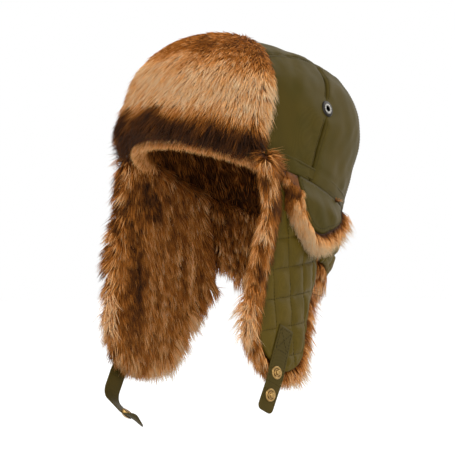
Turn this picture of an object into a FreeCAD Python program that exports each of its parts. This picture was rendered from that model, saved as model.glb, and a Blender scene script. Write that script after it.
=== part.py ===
"""Trapper hat: padded crown, folded-up fur visor, quilted ear flaps and nape, ear covers and chin straps.

Millimetres. +Z is up, -Y is the wearer's front and +X the wearer's left. The origin is the middle of the
head opening, on the plane of the crown's lower edge, which rises towards the forehead.
"""

import FreeCAD
import Part
import math
import os

import Sketcher

SIZES = [
    # crown: an upright elliptical wall with half an ellipsoid on it, in its own tilted frame
    ("crown_half_length", 112),
    ("crown_half_width", 92),
    ("crown_wall", 56),
    ("crown_dome", 76),
    ("crown_tilt", 21),
    ("cloth", 1.0),
    ("wadding", 4.0),
    ("crown_pile", 9.0),
    ("strip_half_width", 56),
    ("side_seam_back", 5),
    ("band_low", 3),
    ("band_high", 15),
    ("band_thick", 0.8),
    # eyelets: two in the crown and one in each ear flap
    ("eyelet_back", 5.8),
    ("eyelet_level", 75),
    ("eyelet_hole", 2.4),
    ("eyelet_wall", 0.5),
    ("eyelet_flange", 7.8),
    ("eyelet_rise", 1.3),
    ("washer_radius", 7.2),
    ("washer_thick", 0.7),
    ("flap_eyelet_back", -2),
    ("flap_eyelet_level", -54),
    # visor: folded up against the crown's front
    ("visor_end", 62),
    ("visor_low", 4),
    ("visor_gap", 1.3),
    ("interlining", 2.0),
    ("visor_pile", 13),
    ("visor_taper", 12),
    # ear flaps and nape: plan arcs at four levels, out of the crown's half width by the outset
    ("flap_drop", 3),
    ("flap_pile", 12),
    ("flap_bottom", 176),
    ("flap_front", 71),
    ("flap_front_rise", 36),
    ("flap_front_bow", 303),
    ("flap_top_front", 42),
    ("flap_neck_front", 44),
    ("flap_neck_level", 25),
    ("flap_tip_front", 36),
    ("flap_tip_bow", 43),
    ("flap_heel_front", 8),
    ("flap_heel_rise", 13),
    ("flap_heel_bow", 40),
    ("flap_side_back", 12),
    ("flap_side_rise", 60),
    ("notch_bow", 55),
    ("pile_overhang", 8),
    ("brow_overhang", 1.9),
    ("slit_back", 36),
    ("slit_gap", 1.0),
    ("top_level", 25),
    ("top_outset", 0),
    ("top_back", 0),
    ("top_radius", 119),
    ("cheek_level", -98),
    ("cheek_outset", 6.6),
    ("cheek_back", -45),
    ("cheek_radius", 128),
    ("chin_level", -150),
    ("chin_outset", 10),
    ("chin_back", -51),
    ("chin_radius", 168),
    ("tip_level", -200),
    ("tip_outset", 16.5),
    ("tip_back", -51),
    ("tip_radius", 168),
    ("nape_centre", 17),
    ("nape_profile", 187.5),
    ("nape_belly", -18),
    ("nape_bottom", 97),
    # ear covers: small fur-edged flaps that hang over the big ones
    ("cover_gap", 2.5),
    ("cover_top_radius", 112),
    ("cover_top_back", 1),
    ("cover_low_level", -75),
    ("cover_low_radius", 190),
    ("cover_low_back", -27),
    ("cover_low_outset", 5.5),
    ("cover_pile", 4.0),
    ("cover_front", 24),
    ("cover_rear", 66),
    ("cover_bottom", 50),
    # chin straps and press studs
    ("strap_width", 20),
    ("strap_thick", 1.2),
    ("strap_lean", 25),
    ("strap_top", 136),
    ("strap_middle", -33.5),
    ("strap_fold", 186),
    ("fold_gap", 1.6),
    ("tail_length", 27),
    ("stud_above", 11),
    ("stud_below", 11),
    ("stud_flange", 6.2),
    ("stud_ball", 2.6),
    ("stud_height", 4.4),
    ("post_radius", 1.5),
    ("post_wall", 0.4),
    ("post_flange", 4.6),
    ("curl_straight", 12),
    ("curl_radius", 17),
    ("curl_turn", 62),
    ("curl_length", 48),
    ("socket_from_end", 22),
    ("socket_height", 3.2),
]

doc = FreeCAD.newDocument("trapper_hat")
hat = doc.addObject("Spreadsheet::Sheet", "hat")
for row, (alias, value) in enumerate(SIZES, start=1):
    hat.set(f"A{row}", str(value))
    hat.setAlias(f"A{row}", alias)
doc.recompute()

ABOVE = "40"  # level past the top of what hangs below the crown, where outlines close
BIG = 300  # reach of the cutting blocks, well past the whole hat
UP = FreeCAD.Vector(0, 0, 1)
TILT = "placement(vector(0;0;0); rotation(vector(1;0;0); -hat.crown_tilt))"
LINED = "(hat.cloth + hat.wadding)"
PARTS = []


def number(expression):
    """The value of an expression in the sheet's sizes."""
    value = hat.evalExpression(expression)
    return float(getattr(value, "Value", value))


def add(kind, name, expressions=None, **values):
    """A document object with plain values set and the other properties bound to the sheet."""
    thing = doc.addObject(kind, name)
    for key, value in values.items():
        setattr(thing, key, value)
    for key, expression in (expressions or {}).items():
        thing.setExpression(key, expression)
    return thing


def shift(x="0", y="0", z="0"):
    """A move, as an expression."""
    return f"placement(vector({x}; {y}; {z}); rotation(vector(0;0;1); 0))"


def turn(x, y, z, angle):
    """A turn about an axis through the origin, as an expression."""
    return f"placement(vector(0;0;0); rotation(vector({x};{y};{z}); {angle}))"


def cut(name, base, tool):
    return add("Part::Cut", name, Base=base, Tool=tool)


def common(name, base, tool):
    return add("Part::Common", name, Base=base, Tool=tool)


def part(thing, name, placement=None):
    """Names a finished piece, sets its place and lists it for export."""
    thing.Label = name
    if placement:
        thing.setExpression("Placement", placement)
    PARTS.append(thing)
    return thing


def mirrored(source, name):
    """The wearer's right-hand twin of a left-hand piece."""
    twin = add("Part::Mirroring", name, Source=source, Normal=FreeCAD.Vector(1, 0, 0))
    return part(twin, name)


def block(name, size, corner, tilted=False):
    """A cutting block: three side lengths and its low corner, all expressions."""
    place = shift(*corner)
    if tilted:
        place = f"{TILT} * {place}"
    sides = dict(zip(("Length", "Width", "Height"), size))
    return add("Part::Box", name, {**sides, "Placement": place})


def outline(sketch, steps):
    """Draws a closed outline. Each step is (x, y), or (x, y, radius) for an arc that ends there; an arc
    turns left where its radius is positive and right where it starts with a minus sign."""
    spots = [FreeCAD.Vector(number(step[0]), number(step[1]), 0) for step in steps]
    ends = []
    for index, step in enumerate(steps):
        start, end = spots[index - 1], spots[index]
        if len(step) == 2:
            edge = sketch.addGeometry(Part.LineSegment(start, end), False)
            ends.append((edge, 1, 2))
            continue
        right = step[2].startswith("-")
        size = step[2].lstrip("-")
        radius = number(size)
        chord = end - start
        side = UP.cross(chord).normalize() * (-1 if right else 1)
        centre = (start + end) * 0.5 + side * math.sqrt(radius**2 - (chord.Length / 2) ** 2)
        middle = centre + ((start + end) * 0.5 - centre).normalize() * radius
        edge = sketch.addGeometry(Part.Arc(start, middle, end), False)
        bend = sketch.addConstraint(Sketcher.Constraint("Radius", edge, radius))
        sketch.setExpression(f"Constraints[{bend}]", size)
        ends.append((edge, 2, 1) if right else (edge, 1, 2))
    for index, step in enumerate(steps):
        edge, _, tail = ends[index]
        after, head, _ = ends[(index + 1) % len(ends)]
        sketch.addConstraint(Sketcher.Constraint("Coincident", edge, tail, after, head))
        for kind, value, text in (("DistanceX", spots[index].x, step[0]), ("DistanceY", spots[index].y, step[1])):
            size = sketch.addConstraint(Sketcher.Constraint(kind, -1, 1, edge, tail, value))
            sketch.setExpression(f"Constraints[{size}]", text)
    return sketch


def drawn(name, steps, placement=None):
    """A sketch of its own, with an outline."""
    sketch = add("Sketcher::SketchObject", name)
    if placement:
        sketch.setExpression("Placement", placement)
    return outline(sketch, steps)


def extruded(name, steps, length, placement):
    """A prism of an outline, along the outline's own normal."""
    face = drawn(f"{name}_outline", steps, placement)
    return add("Part::Extrusion", name, {"LengthFwd": length}, Base=face, DirMode="Normal", Solid=True)


def body_sketch(body, role, steps):
    """A sketch on one of a body's own origin planes."""
    plane = next(item for item in body.Origin.OriginFeatures if item.Role == role)
    sketch = body.newObject("Sketcher::SketchObject", f"{body.Name}_profile")
    sketch.AttachmentSupport = [(plane, "")]
    sketch.MapMode = "FlatFace"
    return outline(sketch, steps)


def turned(name, steps):
    """A piece turned about its own Z axis from a half profile of (radius, height) steps."""
    body = doc.addObject("PartDesign::Body", name)
    profile = body_sketch(body, "XZ_Plane", steps)
    lathe = body.newObject("PartDesign::Revolution", f"{name}_turned")
    lathe.Profile = profile
    lathe.ReferenceAxis = (profile, ["V_Axis"])
    lathe.Angle = 360
    return body


# ---------------------------------------------------------------- crown: nested domes, cut into panels


def dome(name, inset, squat="0"):
    """The solid under the crown's surface, taken in all round by the inset, and lowered at the top."""
    cap = add(
        "Part::Ellipsoid",
        f"{name}_cap",
        {
            "Radius1": f"hat.crown_dome - ({inset}) - {squat}",
            "Radius2": f"hat.crown_half_width - ({inset})",
            "Radius3": f"hat.crown_half_length - ({inset})",
            "Placement": shift(z="hat.crown_wall"),
        },
        Angle1=0,
        Angle2=90,
    )
    plan = add(
        "Part::Ellipse",
        f"{name}_plan",
        {
            "MajorRadius": f"hat.crown_half_length - ({inset})",
            "MinorRadius": f"hat.crown_half_width - ({inset})",
            "Placement": turn(0, 0, 1, "90"),
        },
    )
    wall = add(
        "Part::Extrusion",
        f"{name}_wall",
        {"LengthFwd": "hat.crown_wall"},
        Base=plan,
        DirMode="Custom",
        Dir=UP,
        Solid=True,
    )
    return add("Part::Fuse", name, Base=wall, Tool=cap, Refine=False)


dome_out = dome("dome_out", "0")
dome_cloth = dome("dome_cloth", "hat.cloth")
dome_wadding = dome("dome_wadding", LINED)
dome_pile = dome("dome_pile", f"{LINED} + hat.crown_pile")

EYELET_SIDE = (
    "(hat.crown_half_width * sqrt(1 - (hat.eyelet_back / hat.crown_half_length)^2"
    " - ((hat.eyelet_level - hat.crown_wall) / hat.crown_dome)^2))"
)
EYELET_LIE = (
    "atan2((hat.eyelet_level - hat.crown_wall) / hat.crown_dome^2;"
    f" {EYELET_SIDE} / hat.crown_half_width^2)"
)
EYELET_LEAN = (
    "atan2(hat.eyelet_back / hat.crown_half_length^2;"
    f" {EYELET_SIDE} / hat.crown_half_width^2)"
)
EYELET_PLACE = " * ".join(
    [
        shift(EYELET_SIDE, "hat.eyelet_back", "hat.eyelet_level"),
        turn(0, 0, 1, EYELET_LEAN),
        turn(0, 1, 0, f"90 deg - {EYELET_LIE}"),
    ]
)
BARREL = "(hat.eyelet_hole + hat.eyelet_wall)"
BACK_OF_WASHER = f"-({LINED} + hat.washer_thick)"
ROLL = "(hat.eyelet_wall + 0.4)"


def eyelet(name):
    """Rolled flange, barrel through the cloth, and an end that is rolled out over the washer."""
    return turned(
        name,
        [
            ("hat.eyelet_hole", "hat.eyelet_rise * 0.6"),
            (f"{BARREL} + 1.2", "hat.eyelet_rise", "-hat.eyelet_rise * 1.6"),
            ("hat.eyelet_flange - 1.2", "hat.eyelet_rise * 0.75"),
            ("hat.eyelet_flange", "0", "-hat.eyelet_rise * 1.2"),
            (BARREL, "0"),
            (BARREL, BACK_OF_WASHER),
            (f"{BARREL} + {ROLL}", BACK_OF_WASHER),
            (f"{BARREL} + {ROLL}", f"{BACK_OF_WASHER} - hat.eyelet_wall"),
            ("hat.eyelet_hole", f"{BACK_OF_WASHER} - hat.eyelet_wall"),
        ],
    )


def washer(name):
    """The dished ring that the barrel is rolled over, behind the padding."""
    return turned(
        name,
        [
            ("hat.washer_radius", f"-{LINED} - hat.washer_thick * 0.4"),
            ("hat.washer_radius", f"-{LINED}"),
            (BARREL, f"-{LINED}"),
            (BARREL, BACK_OF_WASHER),
            ("hat.washer_radius - 1", BACK_OF_WASHER),
        ],
    )


def rod(name, radius, low, high):
    """An upright cylinder between two heights."""
    size = {"Radius": radius, "Height": f"{high} - ({low})", "Placement": shift(z=low)}
    return add("Part::Cylinder", name, size)


def eyelet_room(name, placement=None):
    """What an eyelet and its washer take out of the layers: a bore, and a flat for each to sit on."""
    bore = rod(f"{name}_bore", BARREL, f"-{LINED} - 2", "1")
    front = rod(f"{name}_front", "hat.eyelet_flange + 0.2", "0", "3")
    back = rod(f"{name}_back", "hat.washer_radius + 0.2", f"-{LINED} - 3", f"-{LINED}")
    room = add("Part::MultiFuse", name, Shapes=[bore, front, back])
    if placement:
        room.setExpression("Placement", placement)
    return room


crown_room = eyelet_room("crown_room", EYELET_PLACE)
crown_rooms = add(
    "Part::Fuse",
    "crown_rooms",
    Base=crown_room,
    Tool=add("Part::Mirroring", "crown_room_right", Source=crown_room, Normal=FreeCAD.Vector(1, 0, 0)),
)
crown_cloth = cut("crown_cloth", cut("crown_cloth_whole", dome_out, dome_cloth), crown_rooms)
crown_fill = cut("crown_fill", cut("crown_fill_whole", dome_cloth, dome_wadding), crown_rooms)
crown_pile = cut("crown_lining", cut("crown_lining_whole", dome_wadding, dome_pile), crown_rooms)

STRIP = "hat.strip_half_width"
strip_block = block("strip_block", (f"2 * {STRIP}", "2 * 300", "300"), (f"-{STRIP}", "-300", "-1"))
front_block = block("front_block", ("300", "300 + hat.side_seam_back", "300"), (STRIP, "-300", "-1"))
rear_block = block("rear_block", ("300", "300", "300"), (STRIP, "hat.side_seam_back", "-1"))

part(common("crown_centre_strip", crown_cloth, strip_block), "crown_centre_strip", TILT)
for name, region in (("crown_side_front", front_block), ("crown_side_rear", rear_block)):
    panel = common(f"{name}_left", crown_cloth, region)
    part(panel, f"{name}_left", TILT)
    mirrored(panel, f"{name}_right")
part(crown_fill, "crown_wadding", TILT)
part(crown_pile, "crown_fur_lining", TILT)

# the flat band sewn round the crown's lower edge
band_block = block(
    "band_block",
    ("600", "600", "hat.band_high - hat.band_low"),
    ("-300", "-300", "hat.band_low"),
)
band = cut("edge_band_ring", dome("dome_band", "-hat.band_thick"), dome_out)
part(common("crown_edge_band", band, band_block), "crown_edge_band", TILT)

crown_eyelet = part(eyelet("crown_eyelet_left"), "crown_eyelet_left", f"{TILT} * {EYELET_PLACE}")
mirrored(crown_eyelet, "crown_eyelet_right")
crown_washer = part(washer("crown_eyelet_washer_left"), "crown_eyelet_washer_left", f"{TILT} * {EYELET_PLACE}")
mirrored(crown_washer, "crown_eyelet_washer_right")

# ---------------------------------------------------------------- visor: three layers over the crown's front

visor_block = block(
    "visor_block",
    ("600", "300 - hat.visor_end", "300"),
    ("-300", "-300", "hat.visor_low"),
)
VISOR_LAYERS = [
    ("visor_backing", "hat.cloth", "0"),
    ("visor_interlining", "hat.interlining", "0"),
    ("visor_fur", "hat.visor_pile", "hat.visor_taper"),
]
reach = "hat.visor_gap"
inner = dome("visor_inside", f"-({reach})")
for name, thick, squat in VISOR_LAYERS:
    reach = f"{reach} + {thick}"
    outer = dome(f"{name}_dome", f"-({reach})", squat)
    layer = common(name, cut(f"{name}_layer", outer, inner), visor_block)
    part(layer, name, TILT)
    inner = outer

# ---------------------------------------------------------------- ear flaps: lofted layers, cut to an outline

STATIONS = ("top", "cheek", "chin", "tip")
PLAN_FRONT = "-95"
PLAN_REAR = "52"
PLAN_INNER = "(hat.crown_half_width - 100)"


def plan_section(name, station, inset):
    """A slice of the flap's curve at one level: an arc of the outer face, closed well inside it."""
    radius = f"(hat.{station}_radius - ({inset}))"
    middle = f"(hat.crown_half_width + hat.{station}_outset - hat.{station}_radius)"

    def side(back):
        return f"{middle} + sqrt({radius}^2 - ({back} - hat.{station}_back)^2)"

    steps = [
        (side(PLAN_REAR), PLAN_REAR, radius),
        (PLAN_INNER, PLAN_REAR),
        (PLAN_INNER, PLAN_FRONT),
        (side(PLAN_FRONT), PLAN_FRONT),
    ]
    return drawn(name, steps, shift(z=f"hat.{station}_level"))


def flap_form(name, inset):
    """The solid behind the flap's outer face, taken in by the inset."""
    sections = [plan_section(f"{name}_{station}", station, inset) for station in STATIONS]
    return add("Part::Loft", name, Sections=sections, Solid=True, Ruled=False)


def flap_outline(grow):
    """The flap's outline from the side, as (back, level) steps, let out all round but along the slit."""
    low = "-hat.flap_bottom"
    return [
        (f"-hat.flap_top_front - hat.brow_overhang * {grow}", ABOVE),
        (f"-hat.flap_neck_front - hat.brow_overhang * {grow}", "-hat.flap_neck_level"),
        (f"-hat.flap_front - {grow}", f"{low} + hat.flap_front_rise", f"hat.flap_front_bow + {grow}"),
        ("-hat.flap_tip_front", f"{low} - {grow}", f"hat.flap_tip_bow + {grow}"),
        (
            f"-hat.flap_heel_front + 0.8 * {grow}",
            f"{low} + hat.flap_heel_rise - 0.6 * {grow}",
            f"hat.flap_heel_bow + {grow}",
        ),
        (f"hat.flap_side_back + 0.9 * {grow}", f"{low} + hat.flap_side_rise - 0.4 * {grow}"),
        ("hat.slit_back", f"-hat.nape_bottom - {grow}", f"-(hat.notch_bow - {grow})"),
        ("hat.slit_back", ABOVE),
    ]


SIDE_VIEW = turn(1, 1, 1, "120")  # sketch x to +Y and sketch y to +Z, its normal along +X
under_edge = block("under_edge", ("600", "600", "300"), ("-300", "-300", "-300 - hat.flap_drop"), tilted=True)

flap_faces = [flap_form("flap_face", "0")]
flap_faces.append(flap_form("flap_cloth_back", "hat.cloth"))
flap_faces.append(flap_form("flap_wadding_back", LINED))
flap_faces.append(flap_form("flap_pile_back", f"{LINED} + hat.flap_pile"))
cloth_outline = extruded("cloth_outline", flap_outline("0"), "300", SIDE_VIEW)
pile_outline = extruded("pile_outline", flap_outline("hat.pile_overhang"), "300", SIDE_VIEW)
cloth_zone = common("cloth_zone", cloth_outline, under_edge)
pile_zone = common("pile_zone", pile_outline, under_edge)
doc.recompute()


def face_spot(form, back, level):
    """The point of a form's outer face at a place in the side view, and the face's outward normal."""
    ray = Part.makeLine(FreeCAD.Vector(BIG, back, level), FreeCAD.Vector(60, back, level))
    hits = [ray.common(form.Shape).Vertexes[index].Point for index in (0, 1)]
    spot = max(hits, key=lambda point: point.x)
    face = min(form.Shape.Faces, key=lambda item: item.distToShape(Part.Vertex(spot))[0])
    u, v = face.Surface.parameter(spot)
    normal = face.normalAt(u, v)
    return spot, normal if normal.x > 0 else normal * -1


spot, normal = face_spot(flap_faces[0], number("hat.flap_eyelet_back"), number("hat.flap_eyelet_level"))
flap_eyelet_place = FreeCAD.Placement(spot, FreeCAD.Rotation(UP, normal))
flap_room = eyelet_room("flap_room")
flap_room.Placement = flap_eyelet_place

FLAP_LAYERS = [
    ("flap_left_shell", cloth_zone),
    ("flap_left_wadding", cloth_zone),
    ("flap_left_fur_lining", pile_zone),
]
for (name, zone), outer, inner in zip(FLAP_LAYERS, flap_faces, flap_faces[1:]):
    layer = common(f"{name}_whole", cut(f"{name}_layer", outer, inner), zone)
    flap_piece = part(cut(name, layer, flap_room), name)
    mirrored(flap_piece, name.replace("left", "right"))

for make, name in ((eyelet, "flap_left_eyelet"), (washer, "flap_left_eyelet_washer")):
    metal = part(make(name), name)
    metal.Placement = flap_eyelet_place
    mirrored(metal, name.replace("left", "right"))

# ---------------------------------------------------------------- nape: a turned skirt between the flaps

NAPE_TOP = "(hat.crown_half_length * cos(hat.crown_tilt) - hat.nape_centre + 0.6)"


def nape_form(name, inset, bottom):
    """The solid behind the nape's outer face: a curved profile turned about an upright line."""
    radius = f"(hat.nape_profile - ({inset}))"
    middle = f"({NAPE_TOP} - hat.nape_profile)"

    def side(level):
        return f"{middle} + sqrt({radius}^2 - ({level} - hat.nape_belly)^2)"

    steps = [
        (side(ABOVE), ABOVE, radius),
        ("5", ABOVE),
        ("5", bottom),
        (side(bottom), bottom),
    ]
    profile = drawn(f"{name}_profile", steps, turn(1, 0, 0, "90"))
    spun = add("Part::Revolution", name, Source=profile, Axis=UP, Angle=360, Solid=True)
    spun.setExpression("Placement", shift(y="hat.nape_centre"))
    return spun


nape_zone = common(
    "nape_zone",
    block("nape_block", ("600", "300", "600"), ("-300", "hat.slit_back + hat.slit_gap", "-300")),
    under_edge,
)
NAPE_LOW = "-hat.nape_bottom"
NAPE_LAYERS = [
    ("nape_shell", "0", "hat.cloth", NAPE_LOW),
    ("nape_wadding", "hat.cloth", LINED, NAPE_LOW),
    ("nape_fur_lining", LINED, f"{LINED} + hat.flap_pile", f"{NAPE_LOW} - hat.pile_overhang"),
]
for name, near, far, bottom in NAPE_LAYERS:
    skin = cut(
        f"{name}_layer",
        nape_form(f"{name}_face", near, bottom),
        nape_form(f"{name}_back", far, f"{bottom} - 1"),
    )
    part(common(name, skin, nape_zone), name)

# ---------------------------------------------------------------- ear covers

COVER_IN = "(hat.crown_half_width + hat.cover_gap)"


def cover_form(name, inset):
    """The solid behind the cover's outer face, from two plan arcs that lean outwards at the bottom."""
    sections = []
    for label, level, radius, back, outset in (
        ("top", "hat.top_level", "hat.cover_top_radius", "hat.cover_top_back", "0"),
        ("low", "hat.cover_low_level", "hat.cover_low_radius", "hat.cover_low_back", "hat.cover_low_outset"),
    ):
        size = f"({radius} + ({inset}))"
        middle = f"({COVER_IN} + {outset} - {radius})"
        rear, front = "76", "-34"
        steps = [
            (f"{middle} + sqrt({size}^2 - ({rear} - ({back}))^2)", rear, size),
            (PLAN_INNER, rear),
            (PLAN_INNER, front),
            (f"{middle} + sqrt({size}^2 - ({front} - ({back}))^2)", front),
        ]
        sections.append(drawn(f"{name}_{label}", steps, shift(z=level)))
    return add("Part::Loft", name, Sections=sections, Solid=True, Ruled=False)


def cover_outline(grow):
    """The cover from the side: a straight front, a rounded lower end and a slanting rear edge."""
    return [
        (f"-hat.cover_front - {grow}", ABOVE),
        (f"-hat.cover_front - {grow}", "-5"),
        (f"-2 - 0.7 * {grow}", f"-hat.cover_bottom + 5 - 0.8 * {grow}"),
        (f"28 + 0.5 * {grow}", f"-hat.cover_bottom + 3 - {grow}", f"26 + {grow}"),
        (f"hat.cover_rear - 8 + {grow}", "-36", f"70 + {grow}"),
        (f"hat.cover_rear + {grow}", ABOVE),
    ]


cover_faces = [
    cover_form("cover_back", "0"),
    cover_form("cover_middle", "hat.cover_pile"),
    cover_form("cover_face", "hat.cover_pile + hat.cloth"),
]
COVER_LAYERS = [
    ("ear_cover_left_fur", "4"),
    ("ear_cover_left_shell", "0"),
]
for (name, grow), inner, outer in zip(COVER_LAYERS, cover_faces, cover_faces[1:]):
    shape = extruded(f"{name}_outline", cover_outline(grow), "300", SIDE_VIEW)
    zone = common(f"{name}_zone", shape, under_edge)
    layer = part(common(name, cut(f"{name}_layer", outer, inner), zone), name)
    mirrored(layer, name.replace("left", "right"))

# ---------------------------------------------------------------- chin straps

STRAP_FOLD_BACK = "(hat.strap_middle - (hat.strap_fold - hat.strap_top) * tan(hat.strap_lean))"
STRAP_HALF = "hat.strap_width / 2"
strap_frame = " * ".join(
    [shift("0", STRAP_FOLD_BACK, "-hat.strap_fold"), turn(1, 0, 0, "-hat.strap_lean"), SIDE_VIEW]
)
ANCHOR_LENGTH = "(hat.strap_fold - hat.strap_top) / cos(hat.strap_lean)"
anchor_outline = extruded(
    "anchor_outline",
    [
        (f"-{STRAP_HALF}", "hat.fold_gap / 2"),
        (STRAP_HALF, "hat.fold_gap / 2"),
        (STRAP_HALF, ANCHOR_LENGTH),
        (f"-{STRAP_HALF}", ANCHOR_LENGTH),
    ],
    "300",
    strap_frame,
)
strap_face = flap_form("strap_face", "-hat.strap_thick")
anchor_band = common("anchor_band", cut("anchor_layer", strap_face, flap_faces[0]), anchor_outline)
doc.recompute()

fold_spot, _ = face_spot(flap_faces[0], number(STRAP_FOLD_BACK), -number("hat.strap_fold"))
upper_stud_back = number(f"{STRAP_FOLD_BACK} + hat.stud_above * sin(hat.strap_lean)")
upper_stud_level = number("-hat.strap_fold + hat.stud_above * cos(hat.strap_lean)")
stud_spot, stud_normal = face_spot(strap_face, upper_stud_back, upper_stud_level)
STRAP_FLOOR = "-hat.strap_thick"


def stud(name):
    """The ball half of a press stud: ringed base, dished face, waisted neck and ball."""
    neck = "(hat.stud_ball * 0.78)"
    return turned(
        name,
        [
            ("hat.post_radius", "0"),
            ("hat.stud_flange", "0"),
            ("hat.stud_flange - 0.5", "hat.stud_height * 0.34", "1.4"),
            ("hat.stud_flange - 1.6", "hat.stud_height * 0.34", "0.7"),
            (f"{neck} + 0.9", "hat.stud_height * 0.2"),
            (neck, "hat.stud_height * 0.42", "-1.3"),
            ("hat.stud_ball", "hat.stud_height * 0.72", "-1.5"),
            ("hat.stud_ball * 0.55", "hat.stud_height", "1.5"),
            ("0", "hat.stud_height"),
            ("0", "0.9"),
            ("hat.post_radius", "0.9"),
        ],
    )


def post(name):
    """The eyelet post that goes through the webbing into the base."""
    return turned(
        name,
        [
            ("hat.post_radius", "0.9"),
            ("hat.post_radius - hat.post_wall", "0.9"),
            ("hat.post_radius - hat.post_wall", f"{STRAP_FLOOR} - 0.4"),
            ("0.3", f"{STRAP_FLOOR} - 0.4"),
            ("0.3", f"{STRAP_FLOOR} - 0.8"),
            ("hat.post_flange - 0.4", f"{STRAP_FLOOR} - 0.8"),
            ("hat.post_flange", STRAP_FLOOR, "0.95"),
            ("hat.post_radius", STRAP_FLOOR),
        ],
    )


def stud_room(name, placement):
    """What a stud takes out of the webbing: the post's hole, and a flat on each face."""
    hole = rod(f"{name}_hole", "hat.post_radius", f"{STRAP_FLOOR} - 1", "1")
    front = rod(f"{name}_front", "hat.stud_flange + 0.2", "0", "3")
    back = rod(f"{name}_back", "hat.stud_flange + 0.2", f"{STRAP_FLOOR} - 3", STRAP_FLOOR)
    room = add("Part::MultiFuse", name, Shapes=[hole, front, back])
    room.Placement = placement
    return room


upper_place = FreeCAD.Placement(stud_spot, FreeCAD.Rotation(UP, stud_normal))
part(cut("strap_left_anchor", anchor_band, stud_room("upper_room", upper_place)), "strap_left_anchor")
anchor_plain = add("Part::Mirroring", "strap_right_anchor", Source=anchor_band, Normal=FreeCAD.Vector(1, 0, 0))
part(anchor_plain, "strap_right_anchor")
for make, name in ((stud, "strap_left_upper_stud"), (post, "strap_left_upper_post")):
    metal = part(make(name), name)
    metal.Placement = upper_place

# left tail: flat webbing with a blunt point and a second stud
tail = doc.addObject("PartDesign::Body", "strap_left_webbing")
tail_profile = body_sketch(
    tail,
    "XY_Plane",
    [
        (f"-{STRAP_HALF}", "-hat.fold_gap / 2"),
        (f"-{STRAP_HALF}", "-hat.tail_length + 5"),
        (f"-{STRAP_HALF} + 5", "-hat.tail_length", "5"),
        (f"{STRAP_HALF} - 5", "-hat.tail_length"),
        (STRAP_HALF, "-hat.tail_length + 5", "5"),
        (STRAP_HALF, "-hat.fold_gap / 2"),
    ],
)
tail_pad = tail.newObject("PartDesign::Pad", "strap_left_tail_pad")
tail_pad.Profile = tail_profile
tail_pad.setExpression("Length", "hat.strap_thick")
tail_lean = FreeCAD.Rotation(FreeCAD.Vector(1, 0, 0), -number("hat.strap_lean"))
upright = FreeCAD.Rotation(FreeCAD.Vector(1, 1, 1), 120)
tail_place = FreeCAD.Placement(fold_spot, tail_lean * upright)
lower_stud = FreeCAD.Vector(0, -number("hat.stud_below"), number("hat.strap_thick"))
lower_place = tail_place * FreeCAD.Placement(lower_stud, FreeCAD.Rotation())
doc.recompute()
tail.Placement = tail_place
part(cut("strap_left_tail_bored", tail, stud_room("lower_room", lower_place)), "strap_left_tail")
for make, name in ((stud, "strap_left_lower_stud"), (post, "strap_left_lower_post")):
    metal = part(make(name), name)
    metal.Placement = lower_place

# right tail: webbing that curls in under the chin, with the socket on its inner face
TURN = "hat.curl_turn"
OUT_X = f"hat.curl_radius * (1 - cos({TURN}))"
OUT_Y = f"-hat.curl_straight - hat.curl_radius * sin({TURN})"
RUN_X = f"hat.curl_length * sin({TURN})"
RUN_Y = f"-hat.curl_length * cos({TURN})"
THICK_X = f"hat.strap_thick * cos({TURN})"
THICK_Y = f"hat.strap_thick * sin({TURN})"
curl = doc.addObject("PartDesign::Body", "strap_right_curl")
curl_profile = body_sketch(
    curl,
    "XY_Plane",
    [
        ("0", "-hat.fold_gap / 2"),
        ("0", "-hat.curl_straight"),
        (OUT_X, OUT_Y, "hat.curl_radius"),
        (f"{OUT_X} + {RUN_X}", f"{OUT_Y} + {RUN_Y}"),
        (f"{OUT_X} + {RUN_X} + {THICK_X}", f"{OUT_Y} + {RUN_Y} + {THICK_Y}"),
        (f"{OUT_X} + {THICK_X}", f"{OUT_Y} + {THICK_Y}"),
        ("hat.strap_thick", "-hat.curl_straight", "-(hat.curl_radius - hat.strap_thick)"),
        ("hat.strap_thick", "-hat.fold_gap / 2"),
    ],
)
curl_pad = curl.newObject("PartDesign::Pad", "strap_right_curl_pad")
curl_pad.Profile = curl_profile
curl_pad.Midplane = True
curl_pad.setExpression("Length", "hat.strap_width")
doc.recompute()
curl_turn = FreeCAD.Rotation(FreeCAD.Vector(1, 0, 0), 90 - number("hat.strap_lean"))
fold_right = FreeCAD.Vector(-fold_spot.x - number("hat.strap_thick"), fold_spot.y, fold_spot.z)
curl_place = FreeCAD.Placement(fold_right, curl_turn)
curl.Placement = curl_place

along = number("hat.curl_length - hat.socket_from_end")
turn_angle = math.radians(number(TURN))
socket_spot = FreeCAD.Vector(
    number(f"{OUT_X} + {THICK_X}") + along * math.sin(turn_angle),
    number(f"{OUT_Y} + {THICK_Y}") - along * math.cos(turn_angle),
    0,
)
inward = FreeCAD.Vector(math.cos(turn_angle), math.sin(turn_angle), 0)
socket_place = curl_place * FreeCAD.Placement(socket_spot, FreeCAD.Rotation(UP, inward))
part(cut("strap_right_tail_bored", curl, stud_room("socket_room", socket_place)), "strap_right_tail")

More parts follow.
